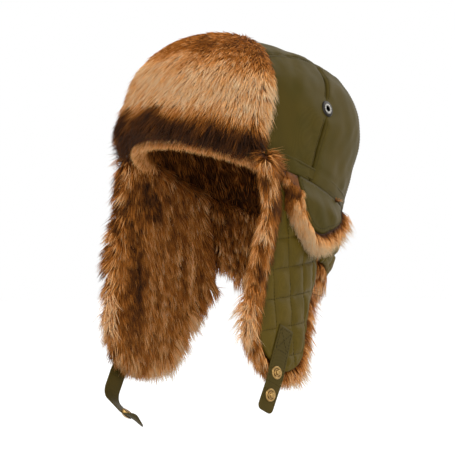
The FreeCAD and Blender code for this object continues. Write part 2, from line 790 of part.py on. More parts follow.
socket = turned(
    "strap_right_socket",
    [
        ("hat.post_radius", "0"),
        ("hat.stud_flange", "0"),
        ("hat.stud_flange", "hat.socket_height * 0.45"),
        ("hat.stud_flange - 1.2", "hat.socket_height", "1.9"),
        ("hat.stud_ball + 0.9", "hat.socket_height"),
        ("hat.stud_ball + 0.15", "hat.socket_height * 0.72", "1.2"),
        ("hat.stud_ball + 0.9", "hat.socket_height * 0.5"),
        ("hat.stud_ball + 0.9", "1.0"),
        ("hat.post_radius", "1.0"),
    ],
)
cap = turned(
    "strap_right_cap",
    [
        ("hat.post_radius", "0.8"),
        ("hat.post_radius - hat.post_wall", "0.8"),
        ("hat.post_radius - hat.post_wall", f"{STRAP_FLOOR} - 0.6"),
        ("0", f"{STRAP_FLOOR} - 0.6"),
        ("0", f"{STRAP_FLOOR} - 2.2"),
        ("hat.stud_flange", STRAP_FLOOR, "12"),
        ("hat.post_radius", STRAP_FLOOR),
    ],
)
for metal, name in ((socket, "strap_right_socket"), (cap, "strap_right_cap")):
    part(metal, name)
    metal.Placement = socket_place

# ---------------------------------------------------------------- check every piece, then write it

doc.recompute()
for thing in doc.Objects:
    if "Invalid" in thing.State or "Error" in thing.State:
        raise RuntimeError(f"{thing.Label} did not build: {thing.State}")
for thing in PARTS:
    if thing.Shape.isNull() or not thing.Shape.isValid() or not thing.Shape.Solids:
        raise RuntimeError(f"{thing.Label} has no sound shape")

os.makedirs("parts", exist_ok=True)
for thing in PARTS:
    thing.Shape.exportStep(os.path.join("parts", f"{thing.Label}.step"))
    box = thing.Shape.BoundBox
    span = " ".join(f"{low:.0f}..{high:.0f}" for low, high in zip(box.getPoint(0), box.getPoint(6)))
    print(f"{thing.Label:28s} {thing.Shape.Volume:10.0f} mm3 {span}")
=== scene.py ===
import math

import bmesh
import bpy
import numpy as np
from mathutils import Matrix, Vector, geometry, kdtree
from mathutils.bvhtree import BVHTree


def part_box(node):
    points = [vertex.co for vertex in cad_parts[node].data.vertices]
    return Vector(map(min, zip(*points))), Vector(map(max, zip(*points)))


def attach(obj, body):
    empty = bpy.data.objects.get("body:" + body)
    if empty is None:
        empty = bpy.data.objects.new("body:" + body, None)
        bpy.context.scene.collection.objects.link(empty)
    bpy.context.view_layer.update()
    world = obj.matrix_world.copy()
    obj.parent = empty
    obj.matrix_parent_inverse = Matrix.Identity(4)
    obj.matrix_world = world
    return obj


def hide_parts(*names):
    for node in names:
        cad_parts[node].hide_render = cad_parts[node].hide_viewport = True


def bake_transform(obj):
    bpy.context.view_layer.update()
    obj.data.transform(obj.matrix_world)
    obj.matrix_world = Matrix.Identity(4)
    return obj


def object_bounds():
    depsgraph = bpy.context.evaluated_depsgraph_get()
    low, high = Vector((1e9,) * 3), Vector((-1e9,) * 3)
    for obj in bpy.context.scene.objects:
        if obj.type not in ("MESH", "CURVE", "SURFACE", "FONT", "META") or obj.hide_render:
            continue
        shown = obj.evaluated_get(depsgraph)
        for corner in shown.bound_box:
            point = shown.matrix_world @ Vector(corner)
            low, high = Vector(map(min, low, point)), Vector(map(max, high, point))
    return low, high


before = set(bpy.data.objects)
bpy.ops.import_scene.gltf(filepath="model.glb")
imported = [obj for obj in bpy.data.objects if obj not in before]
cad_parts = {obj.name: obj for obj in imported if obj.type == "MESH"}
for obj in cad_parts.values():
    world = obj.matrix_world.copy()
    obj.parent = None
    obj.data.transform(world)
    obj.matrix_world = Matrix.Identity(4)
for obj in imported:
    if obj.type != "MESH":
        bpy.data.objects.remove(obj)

cad_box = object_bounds()
bpy.ops.object.select_all(action="DESELECT")


# ---------------------------------------------------------------- set
# The hat stands by itself on a pale floor in a white surround. A broad soft lamp lights it from in front
# and above on the wearer's right, and a weaker one fills the wearer's left side.
DISTANCE = 3.0
FRAME_WIDTH = 0.4322
turn = math.radians(46)
look = Vector((-math.sin(turn), math.cos(turn), 0))
across = Vector((math.cos(turn), math.sin(turn), 0))
aim = across * -0.0085 + Vector((0, 0, -0.0432))
lens = bpy.data.cameras.new("camera")
lens.sensor_width = 36
lens.lens = lens.sensor_width * DISTANCE / FRAME_WIDTH
lens.clip_start = 0.05
camera = bpy.data.objects.new("camera", lens)
camera.location = aim - look * DISTANCE
camera.rotation_euler = look.to_track_quat("-Z", "Y").to_euler()
bpy.context.scene.collection.objects.link(camera)
bpy.context.scene.camera = camera
bpy.context.scene.view_settings.view_transform = "Standard"


def set_inputs(tree, node, inputs):
    """Sets a node's inputs to constants, or links them to other nodes' sockets."""
    for socket, value in inputs.items():
        if isinstance(value, bpy.types.NodeSocket):
            tree.links.new(value, node.inputs[socket])
        else:
            node.inputs[socket].default_value = value


def add_node(tree, kind, inputs=None, **settings):
    """A node with its settings and inputs."""
    node = tree.nodes.new(kind)
    for name, value in settings.items():
        setattr(node, name, value)
    set_inputs(tree, node, inputs or {})
    return node


def bare_material(name):
    """A new material, its node tree and its Principled BSDF."""
    material = bpy.data.materials.new(name)
    material.use_nodes = True
    return material, material.node_tree, material.node_tree.nodes["Principled BSDF"]


def seen_directly(tree):
    """A value that is 1 for camera, glossy and transmission rays."""
    rays = add_node(tree, "ShaderNodeLightPath").outputs
    camera_ray, glossy_ray, clear_ray = (rays[f"Is {kind} Ray"] for kind in ("Camera", "Glossy", "Transmission"))
    either = add_node(tree, "ShaderNodeMath", {0: camera_ray, 1: glossy_ray}, operation="MAXIMUM")
    return add_node(tree, "ShaderNodeMath", {0: either.outputs[0], 1: clear_ray}, operation="MAXIMUM").outputs[0]


WHITE = (1, 1, 1, 1)
world = bpy.data.worlds.new("surround")
world.use_nodes = True
bpy.context.scene.world = world
tree = world.node_tree
light = tree.nodes["Background"]
set_inputs(tree, light, {"Color": WHITE, "Strength": 0.55})
shown = add_node(tree, "ShaderNodeBackground", {"Color": WHITE, "Strength": 1.0})
choice = add_node(tree, "ShaderNodeMixShader", {0: seen_directly(tree), 1: light.outputs[0], 2: shown.outputs[0]})
set_inputs(tree, tree.nodes["World Output"], {"Surface": choice.outputs[0]})

FLOOR_GAP = 0.012
bpy.ops.mesh.primitive_plane_add(size=9, location=(0, 0, cad_box[0].z - FLOOR_GAP))
floor = bpy.context.object
floor.name = "floor"
paint, tree, matt = bare_material("floor_paint")
set_inputs(tree, matt, {"Base Color": (0.86, 0.86, 0.86, 1), "Roughness": 0.9})
glow = add_node(tree, "ShaderNodeEmission", {"Strength": 1.3})
share = add_node(tree, "ShaderNodeMath", {0: seen_directly(tree), 1: 0.8}, operation="MULTIPLY")
choice = add_node(tree, "ShaderNodeMixShader", {0: share.outputs[0], 1: matt.outputs[0], 2: glow.outputs[0]})
set_inputs(tree, tree.nodes["Material Output"], {"Surface": choice.outputs[0]})
floor.data.materials.append(paint)

for name, place, size, power in (
    ("key", (-0.35, -2.0, 1.35), 1.6, 34),
    ("fill", (2.1, -0.7, 0.5), 1.4, 16),
    ("back", (0.6, 1.9, 1.3), 1.4, 16),
):
    lamp = bpy.data.lights.new(name, "AREA")
    lamp.size = size
    lamp.energy = power
    holder = bpy.data.objects.new(name, lamp)
    holder.location = place
    holder.rotation_euler = (Vector((0, 0, -0.03)) - Vector(place)).to_track_quat("-Z", "Y").to_euler()
    bpy.context.scene.collection.objects.link(holder)


# ---------------------------------------------------------------- crown cloth
# Olive nylon over 4 mm of wadding, in five panels: a strip from brow to nape and two on each side. The
# seams pull the cloth into soft puckers. Each panel is closed, with its own share of the wadding behind.
MM = 0.001
LEAN = math.radians(21)
HALF_WIDTH, HALF_LENGTH, WALL, DOME = 92.0, 112.0, 56.0, 76.0
FRONT_FULLNESS, REAR_FULLNESS = 2.12, 2.72
STRIP, SIDE_SEAM = 56.0, 5.0
CLOTH_AND_WADDING, INNER_GAP = 5.0, 0.6


def leaned(points):
    """From the crown's own leaning frame to the hat's."""
    x, y, z = np.asarray(points, float).T
    return np.stack([x, y * math.cos(LEAN) + z * math.sin(LEAN), -y * math.sin(LEAN) + z * math.cos(LEAN)], 1)


def ripple(points, size, seed, waves=9):
    """Smooth seeded noise from -1 to 1; size is its wavelength, one value or one for each axis."""
    rng = np.random.default_rng(seed)
    ways = rng.normal(size=(waves, 3))
    ways /= np.linalg.norm(ways, axis=1)[:, None]
    ways *= rng.uniform(0.7, 1.5, (waves, 1)) * 2 * math.pi / np.broadcast_to(np.asarray(size, float), (3,))
    total = np.sin(np.asarray(points) @ ways.T + rng.uniform(0, 6.28, waves)).sum(1)
    return np.clip(total / waves**0.5 / 1.2, -1, 1)


def step(value, low, high):
    """0 up to low, 1 from high, smooth between."""
    t = np.clip((value - low) / (high - low), 0, 1)
    return t * t * (3 - 2 * t)


def smooth_object(name, co, loops, sizes, material):
    """A smooth mesh object from points in metres and faces given as one run of loops with their sizes."""
    mesh = bpy.data.meshes.new(name)
    mesh.vertices.add(len(co))
    mesh.vertices.foreach_set("co", co.ravel())
    mesh.loops.add(len(loops))
    mesh.loops.foreach_set("vertex_index", loops.astype(np.int32))
    mesh.polygons.add(len(sizes))
    starts = np.concatenate([[0], np.cumsum(sizes)[:-1]])
    mesh.polygons.foreach_set("loop_start", starts.astype(np.int32))
    mesh.update(calc_edges=True)
    mesh.polygons.foreach_set("use_smooth", np.ones(len(sizes), bool))
    mesh.materials.append(material)
    thing = bpy.data.objects.new(name, mesh)
    bpy.context.scene.collection.objects.link(thing)
    return thing


def made(name, points, faces, material):
    """A smooth mesh object from points in millimetres and a list or an array of faces."""
    if isinstance(faces, list):
        sizes, loops = np.array([len(f) for f in faces]), np.concatenate([np.asarray(f) for f in faces])
    else:
        sizes, loops = np.full(len(faces), faces.shape[1]), faces.ravel()
    return smooth_object(name, np.asarray(points, np.float32) * MM, loops, sizes, material)


def points_of(piece):
    """A mesh object's points, in metres."""
    co = np.zeros(len(piece.data.vertices) * 3, np.float32)
    piece.data.vertices.foreach_get("co", co)
    return co.reshape(-1, 3)


def crown_ring(turns, reach, level, share=1.0):
    """Points round the crown from the brow, let out by reach, at a level and a share of its full width."""
    wide, long = (HALF_WIDTH + reach) * share, (HALF_LENGTH + reach) * share
    return np.stack([wide * np.sin(turns), -long * np.cos(turns), turns * 0 + level], 1)


def new_group(name, inputs, outputs):
    """An empty shader node group with these sockets."""
    group = bpy.data.node_groups.new(name, "ShaderNodeTree")
    for direction, sockets in (("INPUT", inputs), ("OUTPUT", outputs)):
        for socket, kind in sockets.items():
            group.interface.new_socket(socket, in_out=direction, socket_type=f"NodeSocket{kind}")
    return group, group.nodes.new("NodeGroupInput").outputs, group.nodes.new("NodeGroupOutput").inputs


# a close plain weave with a slow drift of tone, as dyed nylon has
weave, given, put = new_group(
    "close_weave",
    {"Place": "Vector", "Colour": "Color", "Shade": "Color", "Pitch": "Float"},
    {"Colour": "Color", "Roughness": "Float", "Height": "Float"},
)
drift = add_node(weave, "ShaderNodeTexNoise", {"Vector": given["Place"], "Scale": 32.0, "Detail": 4.0})
drift_range = add_node(
    weave, "ShaderNodeMapRange", {"Value": drift.outputs[0], "From Min": 0.35, "From Max": 0.7}
)
toned = add_node(
    weave,
    "ShaderNodeMix",
    {0: drift_range.outputs[0], 6: given["Colour"], 7: given["Shade"]},
    data_type="RGBA",
)
threads = []
for way in ("X", "Z"):
    threads.append(
        add_node(
            weave,
            "ShaderNodeTexWave",
            {"Vector": given["Place"], "Scale": given["Pitch"], "Distortion": 0.6, "Detail": 1.0},
            bands_direction=way,
        )
    )
crossing = add_node(
    weave, "ShaderNodeMath", {0: threads[0].outputs[1], 1: threads[1].outputs[1]}, operation="MULTIPLY"
)
grain = add_node(weave, "ShaderNodeTexNoise", {"Vector": given["Place"], "Scale": 900.0, "Detail": 2.0})
height = add_node(
    weave, "ShaderNodeMath", {0: grain.outputs[0], 1: 0.8, 2: crossing.outputs[0]}, operation="MULTIPLY_ADD"
)
fleck = add_node(weave, "ShaderNodeMapRange", {"Value": crossing.outputs[0], "To Min": 0.86, "To Max": 1.06})
coloured = add_node(
    weave, "ShaderNodeVectorMath", {0: toned.outputs[2], 3: fleck.outputs[0]}, operation="SCALE"
)
rough = add_node(weave, "ShaderNodeMapRange", {"Value": drift.outputs[0], "To Min": 0.44, "To Max": 0.62})
for name, node in (("Colour", coloured), ("Roughness", rough), ("Height", height)):
    weave.links.new(node.outputs[0], put[name])


def cloth_material(name, colour, shade, pitch=640.0, sheen=0.012):
    """Woven cloth: the weave group feeding a Principled BSDF with a little sheen."""
    material, tree, cloth = bare_material(name)
    place = add_node(tree, "ShaderNodeTexCoord").outputs["Object"]
    woven = {"Place": place, "Colour": (*colour, 1), "Shade": (*shade, 1), "Pitch": pitch}
    group = add_node(tree, "ShaderNodeGroup", woven, node_tree=weave)
    threads = {"Strength": 0.35, "Distance": 0.00012, "Height": group.outputs["Height"]}
    finish = {
        "Base Color": group.outputs["Colour"],
        "Roughness": group.outputs["Roughness"],
        "Normal": add_node(tree, "ShaderNodeBump", threads).outputs[0],
        "Sheen Weight": sheen,
        "Sheen Roughness": 0.45,
        "Sheen Tint": (0.95, 0.72, 0.4, 1),
        "Specular IOR Level": 0.09,
    }
    set_inputs(tree, cloth, finish)
    return material


olive = cloth_material("olive_nylon", (0.081, 0.055, 0.0060), (0.064, 0.047, 0.0052))

# points round the crown, and rows of them up its wall and over its dome
AROUND, UP_WALL, UP_DOME = 272, 19, 62
# the left eyelet in the crown's frame, and the hole left in the cloth for it
EYELET = np.array([88.95, 5.8, 75.0])
EYELET_CLEAR = 5.2


def from_eyelet(points):
    """Distance to the eyelet on the same side, in the crown's frame."""
    x, y, z = points.T
    return np.linalg.norm(np.stack([np.abs(x), y, z], 1) - EYELET, axis=1)


def crown_ease(points):
    """How far the cloth stands out from the even dome, in the crown's frame: seams, puckers and slack."""
    x, y, z = points.T
    strip_gap = np.abs(np.abs(x) - STRIP)
    side_gap = np.where(np.abs(x) > STRIP, np.abs(y - SIDE_SEAM), 99.0)
    gap = np.minimum(strip_gap, side_gap)
    edge_gap = np.abs(z - 15.5)
    along = np.where(strip_gap < side_gap, y + z * 0.6, z)
    flat_along = np.stack([along, np.zeros_like(x), np.sign(x) * 40 + (strip_gap < side_gap) * 90], 1)
    stand = 0.5 - 1.8 * np.exp(-((gap / 1.6) ** 2)) + 0.4 * np.exp(-(((gap - 6) / 5) ** 2))
    stand += 0.36 * np.exp(-gap / 8) * ripple(flat_along, 15, 3)
    stand += 0.75 * ripple(points, (34, 52, 40), 5) + 0.35 * ripple(points, (16, 16, 30), 6)
    turned = np.degrees(np.arctan2(x, -y))
    folds = ripple(np.stack([turned, z * 0.25, z * 0], 1), 13, 9)
    stand += 0.8 * folds * np.exp(-edge_gap / 13) - 0.9 * np.exp(-((edge_gap / 2.2) ** 2))
    return stand * step(from_eyelet(points), 8, 17)


def swell(rise, turn):
    """The padded dome's share of the width and height at a rise; fuller than an ellipse towards the nape."""
    fullness = FRONT_FULLNESS + (REAR_FULLNESS - FRONT_FULLNESS) * step((1 - np.cos(turn)) / 2, 0.25, 0.85)
    return np.maximum(np.cos(rise), 0) ** (2 / fullness), np.sin(rise) ** (2 / fullness)


def dome_grid(inset):
    """Points of the crown's form, moved in by the inset, in rows from the edge to the top."""
    turns = np.linspace(0, 2 * math.pi, AROUND, endpoint=False)
    rows = [(level, 1.0) for level in np.linspace(0, WALL, UP_WALL)[:-1]]
    rows += [(None, rise) for rise in np.linspace(0, math.pi / 2, UP_DOME + 1)[:-1]]
    points = []
    for level, rise in rows:
        share, high = (1.0, 0.0) if level is not None else swell(rise, turns)
        z = level if level is not None else WALL + (DOME - inset) * high
        points.append(crown_ring(turns, -inset, z, share))
    points = np.concatenate(points + [np.array([[0, 0, WALL + DOME - inset]])])
    low = np.arange(len(rows) - 1)[:, None] * AROUND + np.arange(AROUND)
    nxt = np.arange(len(rows) - 1)[:, None] * AROUND + (np.arange(AROUND) + 1) % AROUND
    faces = [list(f) for f in np.stack([low, nxt, nxt + AROUND, low + AROUND], -1).reshape(-1, 4)]
    last = (len(rows) - 1) * AROUND
    faces += [[last + i, last + (i + 1) % AROUND, len(points) - 1] for i in range(AROUND)]
    return points, faces


PANELS = {
    "crown_centre_panel": (0, 0, ("crown_centre_strip", "crown_wadding")),
    "crown_front_panel_left": (1, -1, ("crown_side_front_left",)),
    "crown_rear_panel_left": (1, 1, ("crown_side_rear_left",)),
    "crown_front_panel_right": (-1, -1, ("crown_side_front_right",)),
    "crown_rear_panel_right": (-1, 1, ("crown_side_rear_right",)),
}
grid_points, grid_faces = dome_grid(0)
for name, (side, end, nodes) in PANELS.items():
    panel = made(name, grid_points, grid_faces, olive)
    shape = bmesh.new()
    shape.from_mesh(panel.data)
    if side == 0:
        cuts = [((STRIP, 0, 0), (1, 0, 0), True), ((-STRIP, 0, 0), (-1, 0, 0), True)]
    else:
        cuts = [((side * STRIP, 0, 0), (side, 0, 0), False), ((0, SIDE_SEAM, 0), (0, 1, 0), end < 0)]
    for place, normal, keep_inside in cuts:
        bmesh.ops.bisect_plane(
            shape,
            geom=shape.verts[:] + shape.edges[:] + shape.faces[:],
            plane_co=[p * MM for p in place],
            plane_no=normal,
            clear_outer=keep_inside,
            clear_inner=not keep_inside,
        )
    holes = []
    for face in shape.faces:
        x, y, z = face.calc_center_median()
        if (Vector((abs(x), y, z)) - Vector(EYELET * MM)).length < EYELET_CLEAR * MM:
            holes.append(face)
    bmesh.ops.delete(shape, geom=holes, context="FACES")
    bmesh.ops.remove_doubles(shape, verts=shape.verts[:], dist=0.0002)
    bmesh.ops.recalc_face_normals(shape, faces=shape.faces[:])
    shape.to_mesh(panel.data)
    shape.free()
    co = points_of(panel).astype(float) / MM
    above = np.maximum(co[:, 2] - WALL, 0)
    full = np.sqrt((co[:, 0] / HALF_WIDTH) ** 2 + (co[:, 1] / HALF_LENGTH) ** 2 + (above / DOME) ** 2)
    even = np.stack([co[:, 0] / full, co[:, 1] / full, np.where(above > 0, WALL + above / full, co[:, 2])], 1)
    close = 1 - step(from_eyelet(co), 9, 38)
    co += (even - co) * close[:, None]
    outward = co * [1 / HALF_WIDTH**2, 1 / HALF_LENGTH**2, 0]
    outward[:, 2] = np.maximum(co[:, 2] - WALL, 0) / DOME**2
    outward /= np.linalg.norm(outward, axis=1)[:, None]
    co = co + outward * crown_ease(co)[:, None]
    panel.data.vertices.foreach_set("co", (leaned(co) * MM).astype(np.float32).ravel())
    panel.data.update()
    bpy.context.view_layer.objects.active = panel
    wall = panel.modifiers.new("wadding", "SOLIDIFY")
    wall.thickness = (CLOTH_AND_WADDING - INNER_GAP) * MM
    wall.offset = -1
    bpy.ops.object.modifier_apply(modifier="wadding")
    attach(panel, "crown")
    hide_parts(*nodes)

# the flat band sewn round the crown's lower edge, with a turned edge above and below
BAND_LOW = 3.0
band_profile = [(-0.9, 0.2), (0.4, 0.4), (0.85, 1.1), (0.95, 2.2), (0.75, 4.0), (0.9, 6.5), (0.75, 9.2)]
band_profile += [(0.95, 10.8), (0.85, 11.6), (0.3, 12.1), (-0.9, 12.2)]
turns = np.linspace(0, 2 * math.pi, 360, endpoint=False)
points = []
for out, rise in band_profile:
    wave = 0.28 * ripple(np.stack([np.degrees(turns), turns * 0 + rise * 2, turns * 0], 1), 17, 12)
    points.append(crown_ring(turns, out + wave * (out > 0), BAND_LOW + rise))
count = len(turns)
ring = np.arange(count)
faces = []
for row in range(len(band_profile)):
    low, high = row * count, (row + 1) % len(band_profile) * count
    faces.append(np.stack([low + ring, low + (ring + 1) % count, high + (ring + 1) % count, high + ring], 1))
band = made("crown_band", leaned(np.concatenate(points)), np.concatenate(faces), olive)
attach(band, "crown")
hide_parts("crown_edge_band")


# ---------------------------------------------------------------- quilted flaps and nape
# The ear flaps and the nape are olive nylon quilted to wadding in a grid of cells about 22 by 27 mm. Each is
# cut to its outline from the side, so the pads here are filled from that outline and puffed between seams.


def rounded_outline(steps, spacing):
    """Points along a closed outline; a third number bows that side outwards to this radius, inwards if negative."""
    points = []
    for start, end in zip(steps[-1:] + steps[:-1], steps):
        p, q = np.array(start[:2], float), np.array(end[:2], float)
        chord = np.linalg.norm(q - p)
        number = max(2, round(chord / spacing))
        t = np.linspace(0, 1, number, endpoint=False)
        line = p + (q - p) * t[:, None]
        if len(end) > 2:
            radius = abs(end[2])
            deep = radius - math.sqrt(radius**2 - chord**2 / 4)
            bow = np.sqrt(radius**2 - ((t - 0.5) * chord) ** 2) - (radius - deep)
            side = np.array([q[1] - p[1], p[0] - q[0]]) / chord
            line = line + side * (bow * math.copysign(1, end[2]))[:, None]
        points.append(line)
    return np.concatenate(points)


def to_edge(points, outline):
    """Distance from each point to the outline, and the direction towards it."""
    p, q = outline, np.roll(outline, -1, 0)
    side = q - p
    best = np.full(len(points), 1e9)
    way = np.zeros((len(points), 2))
    for a, d in zip(p, side):
        t = np.clip((points - a) @ d / (d @ d), 0, 1)
        gap = a + t[:, None] * d - points
        far = np.linalg.norm(gap, axis=1)
        nearer = far < best
        best[nearer] = far[nearer]
        outward = np.array([d[1], -d[0]]) / np.linalg.norm(d)
        unit = np.where(far[:, None] > 1e-6, gap / np.maximum(far, 1e-6)[:, None], outward)
        way[nearer] = unit[nearer]
    return best, way


def inside_outline(points, outline):
    """Which points lie inside a closed outline, by counting crossings."""
    inside = np.zeros(len(points), bool)
    for a, b in zip(outline, np.roll(outline, -1, 0)):
        crosses = (a[1] > points[:, 1]) != (b[1] > points[:, 1])
        with np.errstate(divide="ignore", invalid="ignore"):
            at = (b[0] - a[0]) * (points[:, 1] - a[1]) / (b[1] - a[1]) + a[0]
        inside ^= crosses & (points[:, 0] < at)
    return inside


def filled(outline, spacing):
    """An even triangle mesh inside an outline: its points and triangles."""
    low, high = outline.min(0), outline.max(0)
    rows = []
    for i, level in enumerate(np.arange(low[1], high[1], spacing * 0.866)):
        row = np.arange(low[0] + (i % 2) * spacing / 2, high[0], spacing)
        rows.append(np.stack([row, row * 0 + level], 1))
    inner = np.concatenate(rows)
    inner = inner[inside_outline(inner, outline)]
    inner = inner[to_edge(inner, outline)[0] > spacing * 0.6]
    everything = np.concatenate([outline, inner])
    edges = [(i, (i + 1) % len(outline)) for i in range(len(outline))]
    points, _, faces, *_ = geometry.delaunay_2d_cdt([Vector(v) for v in everything], edges, [], 1, 1e-6)
    return np.array([tuple(v) for v in points]), np.array([f[:] for f in faces])


class Pad:
    """A closed pad in millimetres: its points and faces, and what fur needs to know of each point."""

    def __init__(self, points, faces, flat, edge, out, inner, mirror=False):
        flip = np.array([-1, 1, 1]) if mirror else 1
        a, b, c = (points[faces[:, i]] for i in range(3))
        inside_out = np.einsum("ij,ij->i", a - points.mean(0), np.cross(b - a, c - a)).sum() < 0
        self.points, self.out = points * flip, out * flip
        self.faces = faces[:, ::-1] if inside_out != mirror else faces
        self.flat, self.edge, self.inner = flat, edge, inner

    def normals(self):
        a, b, c = (self.points[self.faces[:, i]] for i in range(3))
        face = np.cross(b - a, c - a)
        total = np.zeros_like(self.points)
        for i in range(3):
            np.add.at(total, self.faces[:, i], face)
        return total / np.maximum(np.linalg.norm(total, axis=1), 1e-9)[:, None]


def filled_pad(outline, spacing, place, middle, half, rounding, puff=None, mirror=False):
    """A pad filled from an outline, rounded towards its edge, with its cloth side puffed."""
    flat, tris = filled(outline, spacing)
    edge, way = to_edge(flat, outline)
    thick = half * np.sqrt(1 - (1 - np.clip(edge / rounding, 0, 1)) ** 2)
    rise = puff(flat, edge) if puff else 0
    top = place(flat[:, 0], flat[:, 1], middle - thick - rise)
    low = place(flat[:, 0], flat[:, 1], middle + thick)
    core = place(flat[:, 0], flat[:, 1], middle + 0 * edge)
    out = place(flat[:, 0] + way[:, 0], flat[:, 1] + way[:, 1], middle + 0 * edge) - core
    out /= np.linalg.norm(out, axis=1)[:, None]
    rim = edge < 1e-4
    number = np.arange(len(flat))
    number[~rim] = len(flat) + np.arange((~rim).sum())
    return Pad(
        np.concatenate([top, low[~rim]]),
        np.concatenate([tris, number[tris][:, ::-1]]),
        np.concatenate([flat, flat[~rim]]),
        np.concatenate([edge, edge[~rim]]),
        np.concatenate([out, out[~rim]]),
        np.concatenate([np.where(rim, 0.5, 0.0), np.ones((~rim).sum())]),
        mirror,
    )


SIDES = (("left", False), ("right", True))
TOP_LINE = math.tan(LEAN)


def top_level(back, drop):
    """Height of the crown's lower edge, less the drop, at a place from front to back."""
    return -drop / math.cos(LEAN) - back * TOP_LINE


# the flap's form down its length: level, how far it stands out, where its bow is centred, the bow's radius
STATIONS = np.array(
    [
        (25, 0, 0, 150),
        (-98, 6.6, -45, 128),
        (-150, 10, -51, 168),
        (-200, 16.5, -51, 168),
        (-260, 26, -51, 168),
    ],
    float,
)


def curve_through(levels, values, at):
    """A smooth curve through the stations, which are listed from the top down."""
    slopes = np.gradient(values, levels)
    order = np.argsort(levels)
    levels, values, slopes = levels[order], values[order], slopes[order]
    i = np.clip(np.searchsorted(levels, at) - 1, 0, len(levels) - 2)
    wide = levels[i + 1] - levels[i]
    t = np.clip((at - levels[i]) / wide, -0.5, 1.5)
    return (
        (2 * t**3 - 3 * t**2 + 1) * values[i]
        + (t**3 - 2 * t**2 + t) * wide * slopes[i]
        + (3 * t**2 - 2 * t**3) * values[i + 1]
        + (t**3 - t**2) * wide * slopes[i + 1]
    )


def flap_place(back, level, depth):
    """A point of the left flap, at a depth in from its outer face."""
    outset, middle, radius = (curve_through(STATIONS[:, 0], STATIONS[:, i], level) for i in (1, 2, 3))
    lean = np.arcsin(np.clip((back - middle) / radius, -0.95, 0.95))
    return np.stack(
        [
            HALF_WIDTH + outset - radius + (radius - depth) * np.cos(lean),
            middle + (radius - depth) * np.sin(lean),
            level,
        ],
        1,
    )


def flap_steps(grow, drop, slit=36.0, brow=0.0, heel=0.0):
    """The flap's outline from the side, let out by grow; brow and heel let it out more at the front and rear."""
    front = -42 - grow - brow
    return [
        (front, top_level(front, drop)),
        (-44 - grow - brow * 0.9, -25),
        (-71 - grow - brow * 0.3, -140, 303 + grow),
        (-36, -176 - grow, 43 + grow),
        (-8 + 0.8 * grow + heel, -163 - 0.6 * grow, 40 + grow),
        (12 + 0.9 * grow + heel, -116 - 0.4 * grow),
        (slit, -97 - grow, -(55 - grow)),
        (slit, top_level(slit, drop)),
    ]


# the quilting's cells: their size, the slope of their rows and where one row and one column lie
CELL_BACK, CELL_DOWN = 22.4, 27.0
ROW_RISE = 0.1
ROW_BASE, COLUMN_BASE = -106.0, -27.0


def cells(flat):
    """Where a point lies in its quilted cell: distance to the nearest row line and column line."""
    rows = (flat[:, 1] - ROW_BASE - ROW_RISE * (flat[:, 0] + 20)) / CELL_DOWN
    columns = (flat[:, 0] - COLUMN_BASE + 0.02 * flat[:, 1]) / CELL_BACK
    return np.abs(rows - np.round(rows)) * CELL_DOWN, np.abs(columns - np.round(columns)) * CELL_BACK


STRAP_TOP, STRAP_LEAN, STRAP_HALF = (-33.5, -136.0), math.radians(25), 10.0
STRAP_SEWN = 55.17


def strap_spot(along, across):
    """Front-to-back place and level of a point on the strap, from its top end."""
    back = STRAP_TOP[0] - along * math.sin(STRAP_LEAN) + across * math.cos(STRAP_LEAN)
    return back, STRAP_TOP[1] - along * math.cos(STRAP_LEAN) - across * math.sin(STRAP_LEAN)


def under_strap(flat):
    """1 where the strap's stitching holds the quilting flat."""
    back, level = flat[:, 0] - STRAP_TOP[0], flat[:, 1] - STRAP_TOP[1]
    along = -back * math.sin(STRAP_LEAN) - level * math.cos(STRAP_LEAN)
    across = np.abs(back * math.cos(STRAP_LEAN) - level * math.sin(STRAP_LEAN))
    return step(STRAP_HALF + 3.5 - across, 0, 3) * step(along, -4, 0) * (1 - step(along, 58, 64))


def quilt(flat, edge):
    """How far the cloth puffs out between the quilting lines and the edge."""
    row, column = cells(flat)
    hem = np.maximum(edge - 5, 0)
    puff = (1 - np.exp(-row / 3.4)) * (1 - np.exp(-column / 4.2)) * (1 - np.exp(-hem / 3.5))
    line = np.minimum(row, column)
    gather = np.stack([flat[:, 0], flat[:, 1], flat[:, 0] * 0], 1)
    creases = ripple(gather, (6, 40, 9), 21) * np.exp(-row / 4.5)
    creases += ripple(gather, (40, 7, 9), 22) * np.exp(-column / 4.5)
    hem_line = 0.5 * np.exp(-(((edge - 4.5) / 1.1) ** 2))
    rise = 3.1 * puff + 0.5 * creases * step(line, 0.3, 2.0) + 0.5 * ripple(gather, 26, 23)
    rise = (rise - 1.0 * np.exp(-((line / 1.1) ** 2)) - hem_line) * step(edge, 0.0, 3.0) + 0.3
    return rise * (1 - under_strap(flat))


NAPE_BOW, NAPE_SET_IN, NAPE_FULLEST = 187.5, -99.34, 18
NAPE_MIDDLE, NAPE_SCALE, NAPE_LOW = 17, 88, -97


def nape_place(turned, level, depth):
    """A point of the nape; turned is the angle from straight back, times NAPE_SCALE."""
    bowed = np.sqrt(np.maximum(NAPE_BOW**2 - (level + NAPE_FULLEST) ** 2, 1))
    radius = NAPE_SET_IN + bowed - depth
    angle = turned / NAPE_SCALE
    return np.stack([radius * np.sin(angle), NAPE_MIDDLE + radius * np.cos(angle), level], 1)


